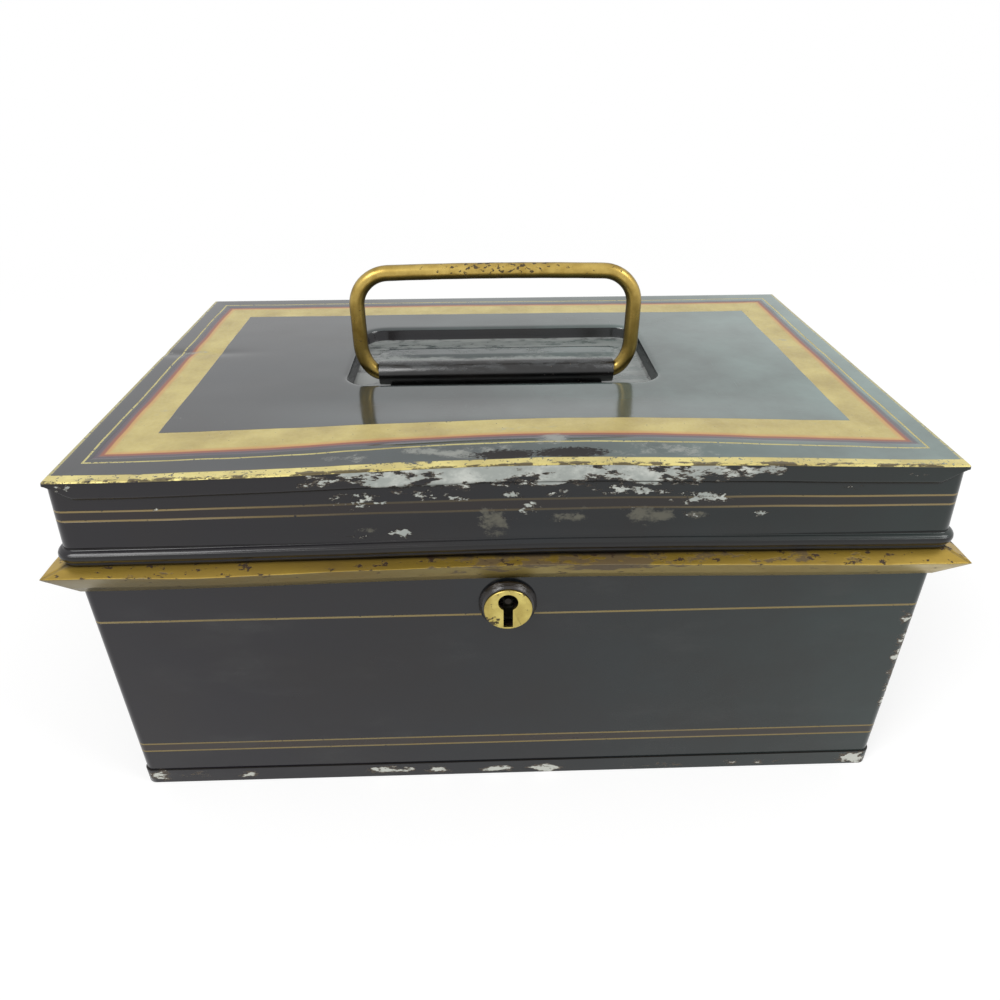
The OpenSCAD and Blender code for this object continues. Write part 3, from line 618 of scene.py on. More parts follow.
def stripe(tree, value, middle, half, soft=0.15):
    """1 within half of middle."""
    off = add(tree, "Math", add(tree, "Math", value, middle, operation="SUBTRACT"), operation="ABSOLUTE")
    return add(tree, "MapRange", off, half + soft, half, **SOFT)


def worn_places(tree, a, b, places):
    """The strongest of some soft spots: middle a and b, half widths in mm, and strength."""
    strongest = None
    for ma, mb, wa, wb, strength in places:
        da = add(tree, "Math", add(tree, "Math", a, ma, operation="SUBTRACT"), 1 / wa, operation="MULTIPLY")
        db = add(tree, "Math", add(tree, "Math", b, mb, operation="SUBTRACT"), 1 / wb, operation="MULTIPLY")
        away = add(tree, "Math", where_all(tree, da, da), where_all(tree, db, db), operation="ADD")
        spot = add(tree, "MapRange", away, 0.0, 1.7, strength, 0.0, clamp=True)
        strongest = spot if strongest is None else add(tree, "Math", strongest, spot, operation="MAXIMUM")
    return strongest


def looks_out(tree, x, y, face):
    """1 where a wall's face looks away from the middle of the box, 0 on its inner face."""
    return add(tree, "MapRange",
               add(tree, "Math", where_all(tree, add(tree, "Math", x, 0.01, operation="MULTIPLY"), face[0]),
                   where_all(tree, add(tree, "Math", y, 0.0155, operation="MULTIPLY"), face[1]),
                   operation="ADD"), 0.1, 0.3, **SOFT)


# Bare tin is soft and dulls to a pale satin. Where the tin is gone too, the steel is brown and matt
BARE_TIN = layer(paint("#c4c6be"), 0.34, 0.85, -0.04)
RUST_GREY = layer(paint("#5d5348"), 0.72, 0.0, -0.02)
print("a chip is", -BARE_TIN["height"], "mm deep")

# %% [markdown]
# ## Black japan
# Japan is asphalt varnish stoved at low heat. It is nearly black and lies like glass over the tin,
# so most of what is seen of it is the room's reflection: its index of refraction does more for
# the look than its colour. It has fine ripple, faint brushed scratches and a little haze.

# %% Japan varnish
def japan(tree, x, mm, left, right_colour_painted_reflection, shine):
    """The bare varnish, tinted from left to right, lighter on the right as a painted reflection, before any
    gold or wear.
    """
    cloud = blotches(tree, mm, 38, seed=3.1)
    # The left colour is the varnish's own; the lighter right colour is a painted reflection
    rightward_painted_light = add(tree, "MapRange", x, -150.0, 150.0, 0.0, 1.0, clamp=True)
    tint_with_painted_reflection = add(tree, "Mix", at={0: where_all(tree, rightward_painted_light, rightward_painted_light), 6: paint(left), 7: paint(right_colour_painted_reflection)},
               out=2, data_type="RGBA")
    colour = add(tree, "Mix", at={0: add(tree, "MapRange", cloud, 0.35, 0.75, 0.0, 0.55, clamp=True),
                                  6: tint_with_painted_reflection, 7: paint("#1b1512")}, out=2, data_type="RGBA")
    scratch_a = blotches(tree, mm, 0.5, (46, 0.6, 30), 2.0, 0.5, 7.7)
    scratch_b = blotches(tree, mm, 0.5, (0.7, 38, 0.8), 2.0, 0.5, 2.3)
    lines = add(tree, "Math", add(tree, "MapRange", scratch_a, 0.68, 0.76, **SOFT),
                add(tree, "MapRange", scratch_b, 0.7, 0.78, **SOFT), operation="MAXIMUM")
    haze = add(tree, "MapRange", cloud, 0.3, 0.8, shine, shine + 0.14, clamp=True)
    rough = raised(tree, haze, lines, 0.14)
    ripple = add(tree, "Math", blotches(tree, mm, 1.6, detail=2.0, seed=5.0), 0.004, operation="MULTIPLY")
    sway = add(tree, "Math", blotches(tree, mm, 30, detail=1.0, seed=9.0), 0.22, operation="MULTIPLY")
    height = add(tree, "Math", add(tree, "Math", ripple, sway, operation="ADD"),
                 add(tree, "Math", lines, 0.004, operation="MULTIPLY"), operation="SUBTRACT")
    return layer(colour, rough, 0.0, height)


def gold_line(tree, mm, colour, gaps, seed):
    """Bronze powder paint: a flat gold with dark specks where it has rubbed through."""
    fleck = blotches(tree, mm, 1.3, detail=3.0, seed=seed)
    body = blotches(tree, mm, 17, seed=seed + 4)
    shade = add(tree, "Mix", at={0: add(tree, "MapRange", body, 0.35, 0.7, 0.0, 0.5, clamp=True),
                                 6: paint(colour), 7: paint("#8a7238")}, out=2, data_type="RGBA")
    rough = add(tree, "MapRange", fleck, 0.3, 0.7, 0.3, 0.5, clamp=True)
    return layer(shade, rough, 0.35, 0.015), add(tree, "MapRange", fleck, gaps, gaps + 0.07, **SOFT)


# %% [markdown]
# ## Lid finish
# The lid's top has a broad gold band with a thin line outside it, and a gilt strip along its
# front edge. Two dull lines run round its wall. The band was painted over a red-brown size that
# still shows as a fringe along its outer edge. Each line could be its own mesh, but real paint has
# no thickness worth modelling, so it is a mask of the distance to a rectangle. The front edge has
# been rubbed to bare tin: a cloudy pattern is raised where hands and shelves have rubbed, and
# where it passes a limit the varnish is gone. The top has more coats than the wall, so the same
# finish is made twice, with a higher index of refraction for the top. The top is also given a
# lighter tint than the wall, which is painted reflection.

# %% Japanned lid
def lid_finish(name, ior, left, right_colour_painted_reflection, shine):
    """The lid's varnish with its painted lines, scuffs and chips."""
    made, tree, shader = finish(name, ior)
    x, y, z, mm, face = place_on(tree)
    stack = japan(tree, x, mm, left, right_colour_painted_reflection, shine)
    flat_top = add(tree, "MapRange", face[2], 0.45, 0.6, **SOFT)
    high = add(tree, "MapRange", z, 139.5, 140.2, **SOFT)
    top_face = where_all(tree, flat_top, high)
    far_x = add(tree, "Math", x, operation="ABSOLUTE")
    bowed = add(tree, "MapRange",
                add(tree, "Math", add(tree, "Math", x, BELLY_X, operation="SUBTRACT"), operation="ABSOLUTE"),
                150.0, 0.0, **SOFT)
    wobble = add(tree, "MapRange", blotches(tree, mm, 34, detail=2.0, seed=1.5), 0.0, 1.0, -0.8, 0.8)

    def inside_frame(half_x, low_y, high_y, push):
        """How far a point lies inside a painted rectangle, in mm. Its front edge went in with the lid."""
        side = add(tree, "Math", half_x, far_x, operation="SUBTRACT")
        front_edge = add(tree, "Math", where_all(tree, bowed, push), low_y, operation="ADD")
        ends = add(tree, "Math", add(tree, "Math", y, front_edge, operation="SUBTRACT"),
                   add(tree, "Math", high_y, y, operation="SUBTRACT"), operation="MINIMUM")
        return add(tree, "Math", add(tree, "Math", side, ends, operation="MINIMUM"), wobble, operation="ADD")

    # Half width, front edge, back edge, and how far the push moved the front edge back
    outer, inner = inside_frame(138, -78.5, 84.5, 4.7), inside_frame(125, -62.5, 70.5, 2.7)
    thin = inside_frame(142.5, -84, 90.5, 4.5)
    band_gold, band_holds = gold_line(tree, mm, "#cbbb74", 0.24, 2.0)
    stack = lay(tree, stack, layer(paint("#4a3346"), 0.4),
                where_all(tree, top_face, stripe(tree, outer, -1.5, 0.5, 1.3), 0.75))
    in_band = where_all(tree, add(tree, "MapRange", outer, 0.0, 0.25, **SOFT),
                        elsewhere(tree, add(tree, "MapRange", inner, -0.1, 0.15, **SOFT)))
    stack = lay(tree, stack, band_gold, where_all(tree, top_face, in_band, band_holds))
    stack = lay(tree, stack, layer(paint("#c98548"), 0.42, 0.2),
                where_all(tree, top_face, stripe(tree, outer, 0.5, 0.3, 2.0), 0.55))
    stack = lay(tree, stack, layer(paint("#8a3f2a"), 0.45),
                where_all(tree, top_face, stripe(tree, outer, -0.2, 0.3, 0.6), 0.8))
    thin_gold, thin_holds = gold_line(tree, mm, "#c9c07e", 0.34, 6.0)
    stack = lay(tree, stack, thin_gold, where_all(tree, top_face, stripe(tree, thin, 0.0, 0.32), thin_holds))
    stack = lay(tree, stack, thin_gold,
                where_all(tree, top_face, stripe(tree, far_x, 149.6, 0.5, 0.3), thin_holds, 0.8))

    # The pair of lines round the wall, mostly lost in the middle of the front
    outward = where_all(tree, looks_out(tree, x, y, face), elsewhere(tree, flat_top))
    upper_line, lower_line = 132.0, 128.5
    line_gold, line_holds = gold_line(tree, mm, "#8f7f5c", 0.27, 8.0)
    front = add(tree, "MapRange", y, -86, -90, **SOFT)
    kept = elsewhere(tree, where_all(tree, front, add(tree, "MapRange", far_x, 120.0, 40.0, **SOFT), 0.78))
    stack = lay(tree, stack, layer(paint("#2e231c"), 0.3),
                where_all(tree, outward, stripe(tree, z, 130.2, 1.5, 0.4), 0.4))
    pair = add(tree, "Math", stripe(tree, z, upper_line, 0.24, 0.2), stripe(tree, z, lower_line, 0.24, 0.2),
               operation="MAXIMUM")
    stack = lay(tree, stack, line_gold, where_all(tree, outward, pair, line_holds, kept))

    # The bead and the hem under it are painted near black and rougher, which on the hem is painted shade, and
    # the crease above the bead is a painted shade line
    stack = lay(tree, stack, layer(paint("#0b090b"), 0.3),
                where_all(tree, outward, add(tree, "MapRange", z, 118.4, 117.4, **SOFT), 0.85))
    stack = lay(tree, stack, layer(paint("#040303"), 0.8),
                where_all(tree, outward, stripe(tree, z, 117.7, 0.3, 0.5), 0.9))

    # Scuffs of the top with a patch of black iron oxide, and the well's floor, rubbed by the handle
    top_rub = worn_places(tree, x, y, [
        (-16, -84, 26, 4.5, 1.0), (14, -78, 8, 4.5, 0.9), (56, -84, 26, 5, 0.95), (-54, -86, 16, 3.5, 0.6),
        (2, -69, 30, 5, 0.5), (-136, 20, 18, 3, 0.6), (134, 22, 13, 16, 0.45), (-122, -46, 14, 6, 0.4)])
    rub_grain = blotches(tree, mm, 7, (1.6, 1, 1), 6.0, 0.68, 12.0)
    fine_grain = blotches(tree, mm, 0.9, (1.5, 1, 1), 4.0, 0.7, 13.0)
    rubbed = raised(tree, raised(tree, rub_grain, top_rub, 0.34), fine_grain, 0.16)
    stack = lay(tree, stack, layer(paint("#9b9d96"), 0.55),
                where_all(tree, top_face, add(tree, "MapRange", rubbed, 0.78, 0.98, **SOFT), 0.72))
    black_oxide = worn_places(tree, x, y, [(-2, -86.4, 13, 3.2, 1.0), (20, -86.0, 15, 3.4, 1.0)])
    stack = lay(tree, stack, layer(paint("#262322"), 0.5, 0.7),
                where_all(tree, top_face,
                          add(tree, "MapRange", raised(tree, fine_grain, black_oxide, 0.7), 0.86, 1.0, **SOFT)))
    in_well = where_all(tree, flat_top, elsewhere(tree, add(tree, "MapRange", z, 138.6, 140.0, **SOFT)),
                        add(tree, "MapRange", y, -40.0, -30.0, **SOFT))
    bar_away = where_all(tree, stripe(tree, y, 31.0, 4.6, 2.4), stripe(tree, far_x, 0.0, 50.0, 6.0))
    well_grain = blotches(tree, mm, 5, (3, 1, 1), 6.0, 0.7, 15.0)
    well_rub = add(tree, "Math", add(tree, "Math", well_grain, 0.1, operation="ADD"),
                   add(tree, "Math", bar_away, 0.2, operation="MULTIPLY"), operation="SUBTRACT")
    stack = lay(tree, stack, layer(paint("#9a9e9b"), 0.5),
                where_all(tree, in_well, add(tree, "MapRange", well_rub, 0.42, 0.66, **SOFT), 0.7))

    # Grey scuffs of the wall, where something rough has dragged along it
    at_front = where_all(tree, front, elsewhere(tree, flat_top), outward)
    dragged = worn_places(tree, x, z, [
        (-8, 125, 9, 6, 1.0), (17, 125.4, 8, 2.6, 1.0), (46, 125.2, 11, 4.2, 1.0), (62, 125.4, 6, 2, 0.8),
        (-56, 122, 13, 2, 0.75), (-26, 124, 16, 4, 0.45), (30, 129, 20, 3, 0.4), (-60, 137, 14, 3, 0.6)])
    scuffed = raised(tree, raised(tree, rub_grain, dragged, 0.34), fine_grain, 0.14)
    stack = lay(tree, stack, layer(paint("#666458"), 0.62),
                where_all(tree, at_front, add(tree, "MapRange", scuffed, 0.82, 0.96, **SOFT), 0.8))

    # The folded edge, rubbed through to the tin with flakes of varnish left on it, and many small chips
    flake_grain = blotches(tree, mm, 4.4, (2.6, 1.2, 0.9), 10.0, 0.72, 21.0)
    bared = worn_places(tree, x, z,
                        [(-24, 141.4, 40, 6.4, 1.3), (12, 141.6, 46, 6.6, 1.3), (50, 141.6, 40, 6.2, 1.25),
                         (76, 141.4, 16, 3.4, 1.0), (-64, 139.4, 12, 3, 0.7), (-90, 141, 16, 1.6, 0.4)])
    flaked = raised(tree, flake_grain, bared, 0.262)
    chip_grain = blotches(tree, mm, 1.7, (2.0, 1.2, 0.9), 8.0, 0.7, 22.0)
    chip_places = worn_places(tree, x, z,
                              [(-51, 133, 12, 3.2, 0.85), (-29, 134, 7, 2, 0.85), (-18, 132.8, 7, 1.2, 0.9),
                               (0, 133.3, 5, 1.5, 0.8), (6, 129.3, 5, 3, 0.85), (16, 134, 6, 1.8, 0.85),
                               (40, 134.5, 15, 2.2, 1.0), (64, 131.8, 12, 2.8, 1.0), (39, 128, 3, 1.4, 0.8),
                               (61, 125.8, 6, 1.6, 0.8), (83, 126, 6, 1.3, 0.85), (-37.5, 121, 4, 2, 1.25),
                               (-50, 120.2, 7, 1.1, 0.8), (16, 125.2, 6, 2, 0.65), (-4, 126, 8, 5, 0.45),
                               (113, 135.3, 4, 1, 0.8), (-132.7, 137, 3, 1, 0.8),
                               (-116.6, 132.5, 2.4, 0.9, 0.7), (-144, 141, 5, 1.6, 0.75),
                               (130, 140, 14, 1, 0.5)])
    chipped = raised(tree, chip_grain, chip_places, 0.3)
    wear = add(tree, "Math", flaked, chipped, operation="MAXIMUM")
    tin_tone = add(tree, "Mix",
                   at={0: add(tree, "MapRange", rubbed, 0.5, 0.78, **SOFT), 6: paint("#a0a5a0"),
                       7: paint("#c9ccc5")}, out=2, data_type="RGBA")
    stack = lay(tree, stack, RUST_GREY,
                where_all(tree, at_front, add(tree, "MapRange", wear, 0.725, 0.765, **SOFT)))
    stack = lay(tree, stack, layer(tin_tone, 0.4, 0.8, -0.04),
                where_all(tree, at_front, add(tree, "MapRange", wear, 0.765, 0.785, **SOFT)))

    # The gilt strip behind the front edge, chipped brown along its border
    strip_gold, strip_holds = gold_line(tree, mm, "#e6d88a", 0.33, 11.0)
    edge_y = add(tree, "Math", raised(tree, y, wobble, 0.8),
                 add(tree, "Math", bowed, 4.0, operation="MULTIPLY"), operation="SUBTRACT")
    strip_place = where_all(tree, top_face, stripe(tree, edge_y, -94.9, 2.2, 0.4))
    stack = lay(tree, stack, strip_gold,
                where_all(tree, strip_place, strip_holds, add(tree, "MapRange", rub_grain, 0.33, 0.4, **SOFT)))
    border = add(tree, "Math",
                 add(tree, "Math", stripe(tree, edge_y, -96.6, 0.8, 1.6), 0.26, operation="MULTIPLY"),
                 flake_grain, operation="ADD")
    stack = lay(tree, stack, layer(paint("#3d3020"), 0.6),
                where_all(tree, top_face, front, add(tree, "MapRange", border, 0.74, 0.79, **SOFT), 0.9))

    # The inside of the lid is dull black
    below = add(tree, "MapRange", face[2], -0.3, -0.6, **SOFT)
    inward = where_all(tree, elsewhere(tree, outward), add(tree, "MapRange", z, 136.2, 135.8, **SOFT),
                       elsewhere(tree, flat_top))
    stack = lay(tree, stack, layer(paint("#171412"), 0.5),
                add(tree, "Math", below, inward, operation="MAXIMUM"))

    # Small chips along every other edge
    edges = add(tree, "Math", where_all(tree, high, add(tree, "MapRange", far_x, 148.6, 150.2, **SOFT)),
                where_all(tree, high, add(tree, "MapRange", y, 96.0, 98.0, **SOFT)), operation="MAXIMUM")
    nick_grain = blotches(tree, mm, 2.4, (1, 1, 0.8), 5.0, 0.6, 31.0)
    nicks = add(tree, "MapRange", raised(tree, nick_grain, edges, 0.12), 0.79, 0.81, **SOFT)
    stack = lay(tree, stack, BARE_TIN, add(tree, "Math", nicks, 0.9, operation="MULTIPLY"))
    dress(tree, shader, stack)
    print(name, len(tree.nodes), "nodes")
    return made


# The top's tints are painted lighter than the wall's, as painted reflection
top_japan = lid_finish("Stoved_black_japan_lid_top", 1.75, "#1a1f26", "#7b928c", 0.07)
wall_japan = lid_finish("Stoved_black_japan_lid_wall", 1.46, "#131017", "#1f2b29", 0.14)

# %% [markdown]
# ## Body finish
# The body is plainer: one thin gold line under the cornice and a pair near the bottom with a
# brown ground between them. The bottom edge knocks against shelves, so its varnish is chipped.
# The chips could be painted on an image, but a cloudy pattern raised at a few listed places needs
# no image and stays crisp from near by.

# %% Japanned body
def body_finish(name, lined):
    """The body's varnish. If lined, it has gold lines on the front and sides."""
    made, tree, shader = finish(name, 1.48)
    x, y, z, mm, face = place_on(tree)
    stack = japan(tree, x, mm, "#120e18", "#2a3836", 0.1)
    outward = looks_out(tree, x, y, face)
    line_gold, holds = gold_line(tree, mm, "#8c7d55", 0.27, 8.0)
    if lined:
        ground = layer(paint("#3a2d22"), 0.35)
        stack = lay(tree, stack, ground, where_all(tree, outward, stripe(tree, z, 20.0, 1.7, 0.5), 0.6))
        high_line = stripe(tree, z, 85.0, 0.34)
        low_pair = add(tree, "Math", stripe(tree, z, 22.0, 0.28), stripe(tree, z, 18.0, 0.28),
                       operation="MAXIMUM")
        drawn = add(tree, "Math", high_line, low_pair, operation="MAXIMUM")
        not_back = add(tree, "MapRange", y, 95.0, 94.0, **SOFT)
        stack = lay(tree, stack, line_gold, where_all(tree, outward, drawn, holds, not_back))
    dirt = blotches(tree, mm, 22, (2.5, 1, 1), 6.0, 0.65, 41.0)
    stack = lay(tree, stack, layer(paint("#3f4140"), 0.42),
                add(tree, "Math", add(tree, "MapRange", dirt, 0.5, 0.85, **SOFT), 0.5, operation="MULTIPLY"))
    grain = blotches(tree, mm, 3.2, (2.2, 1.4, 1.0), 9.0, 0.7, 23.0)
    rub = worn_places(tree, x, z, [
        (-144.7, 5, 5, 4, 0.9), (-130, 4, 8, 3, 0.8), (-109, 4, 5, 3, 0.9), (-50, 3.5, 11, 2.6, 1.0),
        (-30, 3, 7, 2.6, 1.0), (-6, 3, 9, 2.6, 1.0), (15, 2.5, 8, 2.6, 0.9), (60, 2.5, 16, 2, 0.5),
        (100, 3, 14, 2, 0.6), (144, 4, 10, 4, 1.0), (119, 16.6, 4, 1.2, 0.85), (148.6, 64, 3.6, 15, 1.1),
        (149, 40, 2.6, 14, 0.95), (146.5, 79, 4, 5, 1.1)])
    rub = where_all(tree, rub, add(tree, "MapRange", y, -88, -94, **SOFT))
    near_foot = add(tree, "MapRange", z, 7.6, 1.0, **SOFT)
    wear = raised(tree, raised(tree, grain, rub, 0.3), near_foot, 0.06)
    stack = lay(tree, stack, RUST_GREY,
                where_all(tree, outward, add(tree, "MapRange", wear, 0.73, 0.78, **SOFT)))
    stack = lay(tree, stack, BARE_TIN,
                where_all(tree, outward, add(tree, "MapRange", wear, 0.81, 0.83, **SOFT)))
    inner_black = layer(paint("#1a1613"), 0.46)
    stack = lay(tree, stack, inner_black, elsewhere(tree, outward))
    dress(tree, shader, stack)
    print(name, len(tree.nodes), "nodes")
    return made


body_japan = body_finish("Stoved_black_japan_lined", True)
plain_japan = body_finish("Stoved_black_japan_plain", False)

# %% [markdown]
# ## Small japanned fittings
# The sleeve, the boss and the hinges were dipped in the same varnish, and their upper sides are
# grey: rubbed by the handle and by hands, with a painted highlight of the light from above. They
# differ only in tint and in how strong that grey is, so one function makes all three. Dipping
# leaves a thicker, duller coat than brushing.

# %% Japanned fittings
def fitting_finish(name, colour, scuff_and_painted_highlight, amount):
    """Dipped varnish, with grey on the faces that look up, as scuffs and a painted highlight, and a few small
    nicks.
    """
    made, tree, shader = finish(name, 1.6)
    x, y, z, mm, face = place_on(tree)
    stack = japan(tree, x, mm, colour, colour, 0.16)
    rub = blotches(tree, mm, 3.0, (3.0, 1, 1), 6.0, 0.68, 17.0)
    # Faces that look up are laid grey: scuffs, and a painted highlight of the light from above
    upward = add(tree, "MapRange", face[2], 0.1, 0.75, **SOFT)
    where = where_all(tree, add(tree, "MapRange", rub, 0.42, 0.62, **SOFT), upward, amount)
    stack = lay(tree, stack, layer(paint(scuff_and_painted_highlight), 0.48, 0.1), where)
    nicks = add(tree, "MapRange", blotches(tree, mm, 1.8, detail=4.0, seed=51.0), 0.69, 0.72, **SOFT)
    stack = lay(tree, stack, RUST_GREY, nicks)
    dress(tree, shader, stack)
    return made


sleeve_japan = fitting_finish("Dipped_black_japan_sleeve", "#08090a", "#6d7173", 0.25)
boss_japan = fitting_finish("Dipped_black_japan_boss", "#0f0908", "#3d312a", 0.3)
hinge_japan = fitting_finish("Dipped_black_japan_hinge", "#141312", "#6b6458", 0.7)
print("fittings:", sleeve_japan.name, boss_japan.name, hinge_japan.name)

# %% [markdown]
# ## Gilt moulding
# Dutch-metal gilding under a yellow varnish. A full metal would mirror the room and look new, so
# the leaf is only partly metal: the varnish and the dirt on it scatter the rest of the light. The
# lower face is painted darker than the upper, as shade, and lighter towards the right, as painted
# light. The corner under the lid is painted dark, as shade with some dirt, the middle of the front
# is rubbed to the brown ground, and the crest has a thin painted highlight.

# %% Gilt moulding
gilt, tree, shader = finish("Varnished_dutch_metal_gilding", 1.5)
x, y, z, mm, face = place_on(tree)
cloud = blotches(tree, mm, 14, (2, 1, 1), 5.0, 0.6, 61.0)
upper = add(tree, "MapRange", face[2], -0.1, 0.25, **SOFT)
rightward_painted_light = add(tree, "MapRange", x, -150.0, 60.0, 0.0, 1.0, clamp=True)
# The lower face is painted darker than the upper as shade, and lighter towards the right as painted light
lower_face_painted_shade = add(tree, "Mix", at={0: rightward_painted_light, 6: paint("#776a3c"), 7: paint("#b4a058")}, out=2, data_type="RGBA")
gold = add(tree, "Mix", at={0: upper, 6: lower_face_painted_shade, 7: paint("#b5973f")}, out=2, data_type="RGBA")
aged = add(tree, "Mix", at={0: add(tree, "MapRange", cloud, 0.35, 0.75, 0.0, 0.8, clamp=True), 6: gold,
                            7: paint("#7e6631")}, out=2, data_type="RGBA")
stack = layer(aged, add(tree, "MapRange", cloud, 0.3, 0.7, 0.28, 0.5, clamp=True), 0.6,
              add(tree, "Math", cloud, 0.06, operation="MULTIPLY"))
rub = worn_places(tree, x, z, [(25, 110, 42, 4, 1.0), (-8, 109.5, 24, 4, 0.7), (95, 109.5, 30, 3, 0.5),
                               (-120, 109, 22, 3, 0.4)])
on_front = add(tree, "MapRange", y, -95.5, -96.5, **SOFT)
grain = blotches(tree, mm, 3.4, (2.6, 1.2, 1), 6.0, 0.64, 63.0)
brown = add(tree, "MapRange",
            add(tree, "Math", grain,
                where_all(tree, rub, add(tree, "Math", on_front, 0.26, operation="MULTIPLY")), operation="ADD"),
            0.64, 0.72, **SOFT)
stack = lay(tree, stack, layer(paint("#5e4f3a"), 0.55, 0.0, -0.02),
            add(tree, "Math", brown, 0.9, operation="MULTIPLY"))
# The corner under the lid's hem is painted dark: painted shade, with some dirt
shade_and_grime_under_lid = where_all(tree, upper, add(tree, "MapRange", z, 110.7, 111.3, **SOFT))
stack = lay(tree, stack, layer(paint("#1e1812"), 0.6), add(tree, "Math", shade_and_grime_under_lid, 0.85, operation="MULTIPLY"))
# A thin painted highlight along the crest, where the moulding turns from its upper to its lower face
crest = where_all(tree, stripe(tree, face[2], 0.3, 0.16, 0.12),
                  add(tree, "MapRange", grain, 0.42, 0.54, **SOFT))
stack = lay(tree, stack, layer(paint("#c9ba84"), 0.36, 0.6),
            add(tree, "Math", crest, 0.8, operation="MULTIPLY"))
chips = add(tree, "MapRange",
            raised(tree, blotches(tree, mm, 2.2, (2.2, 1.6, 1), 6.0, 0.66, 67.0), upper, 0.05), 0.64, 0.66,
            **SOFT)
stack = lay(tree, stack, layer(paint("#3a2a1c"), 0.6, 0.0, -0.04), chips)
dress(tree, shader, stack)
print(gilt.name, len(tree.nodes), "nodes")

# %% [markdown]
# ## Brass
# The bail is bare brass wire. Hands keep the grip pale and bright, and the legs have gone brown.
# Faces turned away from the front and from above, and the lower legs, are painted darker: patina
# with painted shade.
# Brass is a full metal, so its colour is the colour of its reflection, and the patina only
# darkens that colour. Spots are where damp has taken the zinc, so they are brown, dull and
# slightly sunk.

# %% Brass
def brass_finish(name, colour, dark, pit_places, patina_and_shade_strength):
    """Handled brass: brown spots, thickest at pit_places, and a dark tarnish with painted shade on the faces
    turned from the front and from above.
    """
    made, tree, shader = finish(name)
    x, y, z, mm, face = place_on(tree)
    cloud = blotches(tree, mm, 6, detail=5.0, seed=71.0)
    tone = add(tree, "Mix", at={0: add(tree, "MapRange", cloud, 0.35, 0.7, 0.0, 0.75, clamp=True),
                                6: paint(colour), 7: paint(dark)}, out=2, data_type="RGBA")
    # Faces turned to the front and up stay bright; the rest is painted darker, as painted shade with patina
    facing_front_and_up = add(tree, "Math", add(tree, "Math", face[2], 0.45, operation="MULTIPLY"),
                  add(tree, "Math", face[1], 0.85, operation="MULTIPLY"), operation="SUBTRACT")
    shade_and_patina = elsewhere(tree, add(tree, "MapRange", facing_front_and_up, 0.1, 0.95, **SOFT))
    # The lower legs are painted darker as well
    below = add(tree, "Math", add(tree, "MapRange", z, 180.0, 168.0, **SOFT), 0.55, operation="MULTIPLY")
    shade_and_patina = add(tree, "Math", add(tree, "Math", shade_and_patina, below, operation="MAXIMUM"), patina_and_shade_strength, operation="MULTIPLY")
    tone = add(tree, "Mix", at={0: shade_and_patina, 6: tone, 7: paint("#3b2e10")}, out=2, data_type="RGBA")
    fine = blotches(tree, mm, 0.7, detail=3.0, seed=73.0)
    stack = layer(tone, add(tree, "MapRange", cloud, 0.3, 0.7, 0.24, 0.42, clamp=True), 1.0,
                  add(tree, "Math", fine, 0.012, operation="MULTIPLY"))
    places = worn_places(tree, x, z, pit_places)
    pits = blotches(tree, mm, 1.5, (1.5, 1, 1), 4.0, 0.6, 77.0)
    spotted = add(tree, "MapRange", raised(tree, pits, places, 0.13), 0.66, 0.7, **SOFT)
    stack = lay(tree, stack, layer(paint("#2c1f12"), 0.62, 0.1, -0.03),
                add(tree, "Math", spotted, 0.9, operation="MULTIPLY"))
    dress(tree, shader, stack)
    return made


bail_brass = brass_finish("Drawn_brass_wire_handled", "#c9ae62", "#8f7434",
                          [(-2, 186.5, 24, 4, 1.0), (-58, 160, 4, 20, 0.3)], 0.85)
plate_brass = brass_finish("Stamped_brass_plate_worn", "#dccb78", "#a08a48",
                           [(-8, 84.5, 3.2, 3.2, 1.8), (4, 97, 3, 2.4, 1.0), (-1.5, 98.4, 5, 1.5, 0.8)], 0.3)
lock_brass = brass_finish("Cast_brass_bolt", "#a48d4c", "#7a6432", [(0, 0, 1, 1, 0.0)], 0.2)
print("brass:", bail_brass.name, plate_brass.name)

# %% [markdown]
# ## Tinned steel
# Inside, the lock's box and the wires are plain tinned steel. Tin that was dipped hot sets in
# crystals of a few millimetres, which the eye sees as faint facets: Voronoi cells give those.

# %% Tinned steel
def tinned_finish(name, colour, rough):
    """Tinned or drawn steel with stains, of a given colour and least roughness."""
    made, tree, shader = finish(name)
    x, y, z, mm, face = place_on(tree)
    spangle = add(tree, "TexVoronoi", at={"Vector": mm, "Scale": 1 / 4.0, "Randomness": 1.0}, feature="F1")
    stain = blotches(tree, mm, 9, detail=5.0, seed=81.0)
    tone = add(tree, "Mix", at={0: add(tree, "MapRange", stain, 0.35, 0.75, 0.0, 0.8, clamp=True),
                                6: paint(colour), 7: paint("#6a5f50")}, out=2, data_type="RGBA")
    worn = add(tree, "MapRange", stain, 0.3, 0.7, rough, rough + 0.2, clamp=True)
    dress(tree, shader, layer(tone, worn, 0.9, add(tree, "Math", spangle, 0.01, operation="MULTIPLY")))
    return made


lock_tin = tinned_finish("Hot_dipped_tinplate", "#97988f", 0.38)
steel_wire = tinned_finish("Drawn_steel_wire", "#8b8c8a", 0.34)
oiled_steel = tinned_finish("Oiled_dark_steel", "#2a2724", 0.5)
print("tin:", lock_tin.name, steel_wire.name)
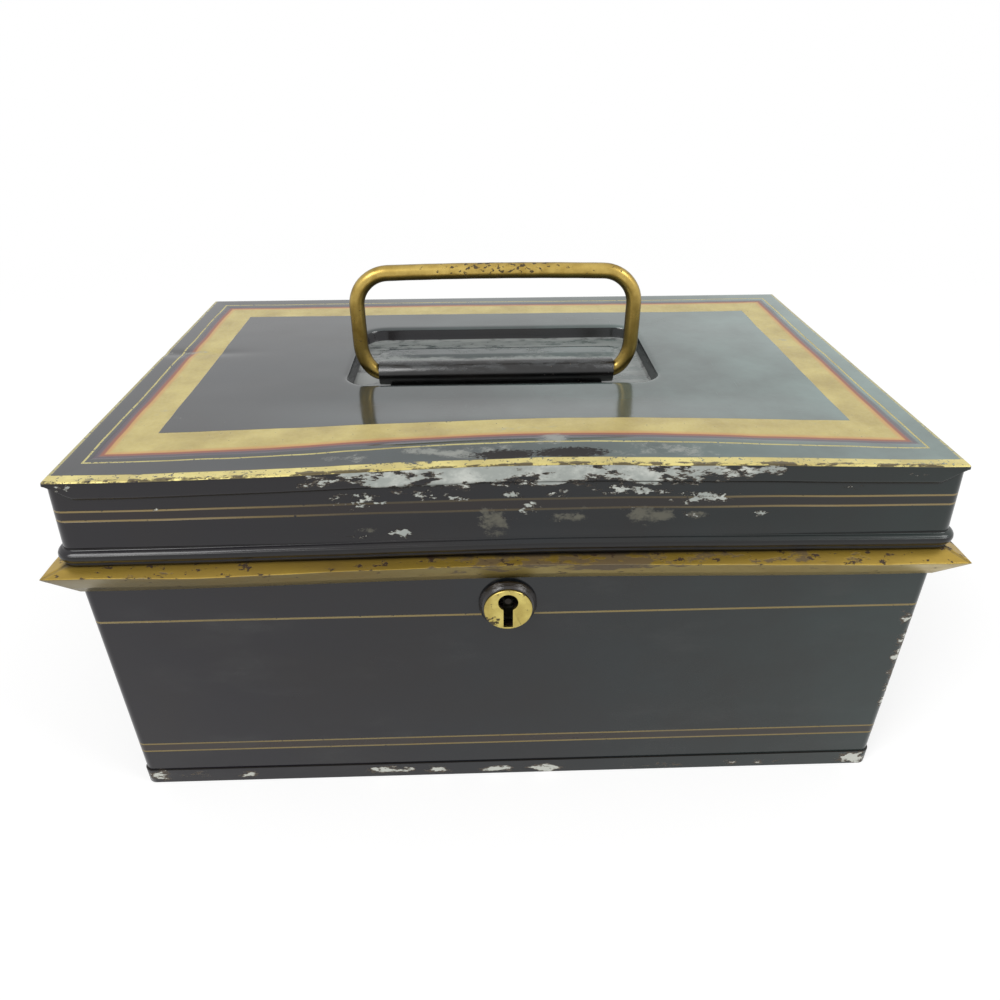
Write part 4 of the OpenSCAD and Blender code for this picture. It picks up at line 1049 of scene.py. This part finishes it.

# %% [markdown]
# ## Finish every piece
# New pieces take one material, the lid's top a second for its upright faces. A CAD piece keeps its
# mesh and gets the material in its own slots, and the listed ones get a narrow bevel as a modifier,
# because no folded or filed edge is perfectly sharp.

# %% Assign the finishes
for place in staple.material_slots:
    place.material = lock_tin
new_finish = [(lid_top, top_japan), (lid_wall, wall_japan), (bail, bail_brass), *[(c, gilt) for c in cornices]]
for made, material in new_finish:
    made.data.materials.append(material)
lid_top.data.materials.append(wall_japan)

NODE_FINISH = {
    body_japan: ["body_shell"],
    plain_japan: ["back_panel", "bottom_pan"],
    sleeve_japan: ["bail_sleeve", "sleeve_rivets"],
    boss_japan: ["escutcheon_collar"],
    plate_brass: ["keyhole_plate"],
    hinge_japan: ["hinge_left_box_leaf", "hinge_right_box_leaf", "hinge_left_lid_leaf", "hinge_right_lid_leaf",
                  "hinge_box_rivets", "hinge_lid_rivets"],
    oiled_steel: ["drill_pin"],
    steel_wire: ["rim_wire", "hinge_left_pin", "hinge_right_pin", "bolt_stud", "lock_rivets", "bolt_spring"],
    lock_tin: ["lock_plate", "lock_case", "lock_ward"],
    lock_brass: ["lock_bolt"],
}
BEVEL = {"escutcheon_collar": 0.3, "keyhole_plate": 0.25, "bail_sleeve": 0.2, "bottom_pan": 0.18,
         "lock_case": 0.25, "lock_plate": 0.15, "lock_bolt": 0.2, "hinge_left_box_leaf": 0.15,
         "hinge_right_box_leaf": 0.15, "hinge_left_lid_leaf": 0.15, "hinge_right_lid_leaf": 0.15,
         "back_panel": 0.12}
for material, names in NODE_FINISH.items():
    for name in names:
        node = nodes[name]
        if not node.data.materials:
            node.data.materials.append(material)
        for place in node.material_slots:
            place.material = material
        if name in BEVEL:
            weld = node.modifiers.new("Join corners", "WELD")
            weld.merge_threshold = 0.002 * MM
            soft = node.modifiers.new("Soft edge", "BEVEL")
            soft.width = BEVEL[name] * MM
            soft.segments = 2
            soft.limit_method = "ANGLE"
            soft.angle_limit = math.radians(32)
print("finished", sum(len(v) for v in NODE_FINISH.values()), "CAD pieces")
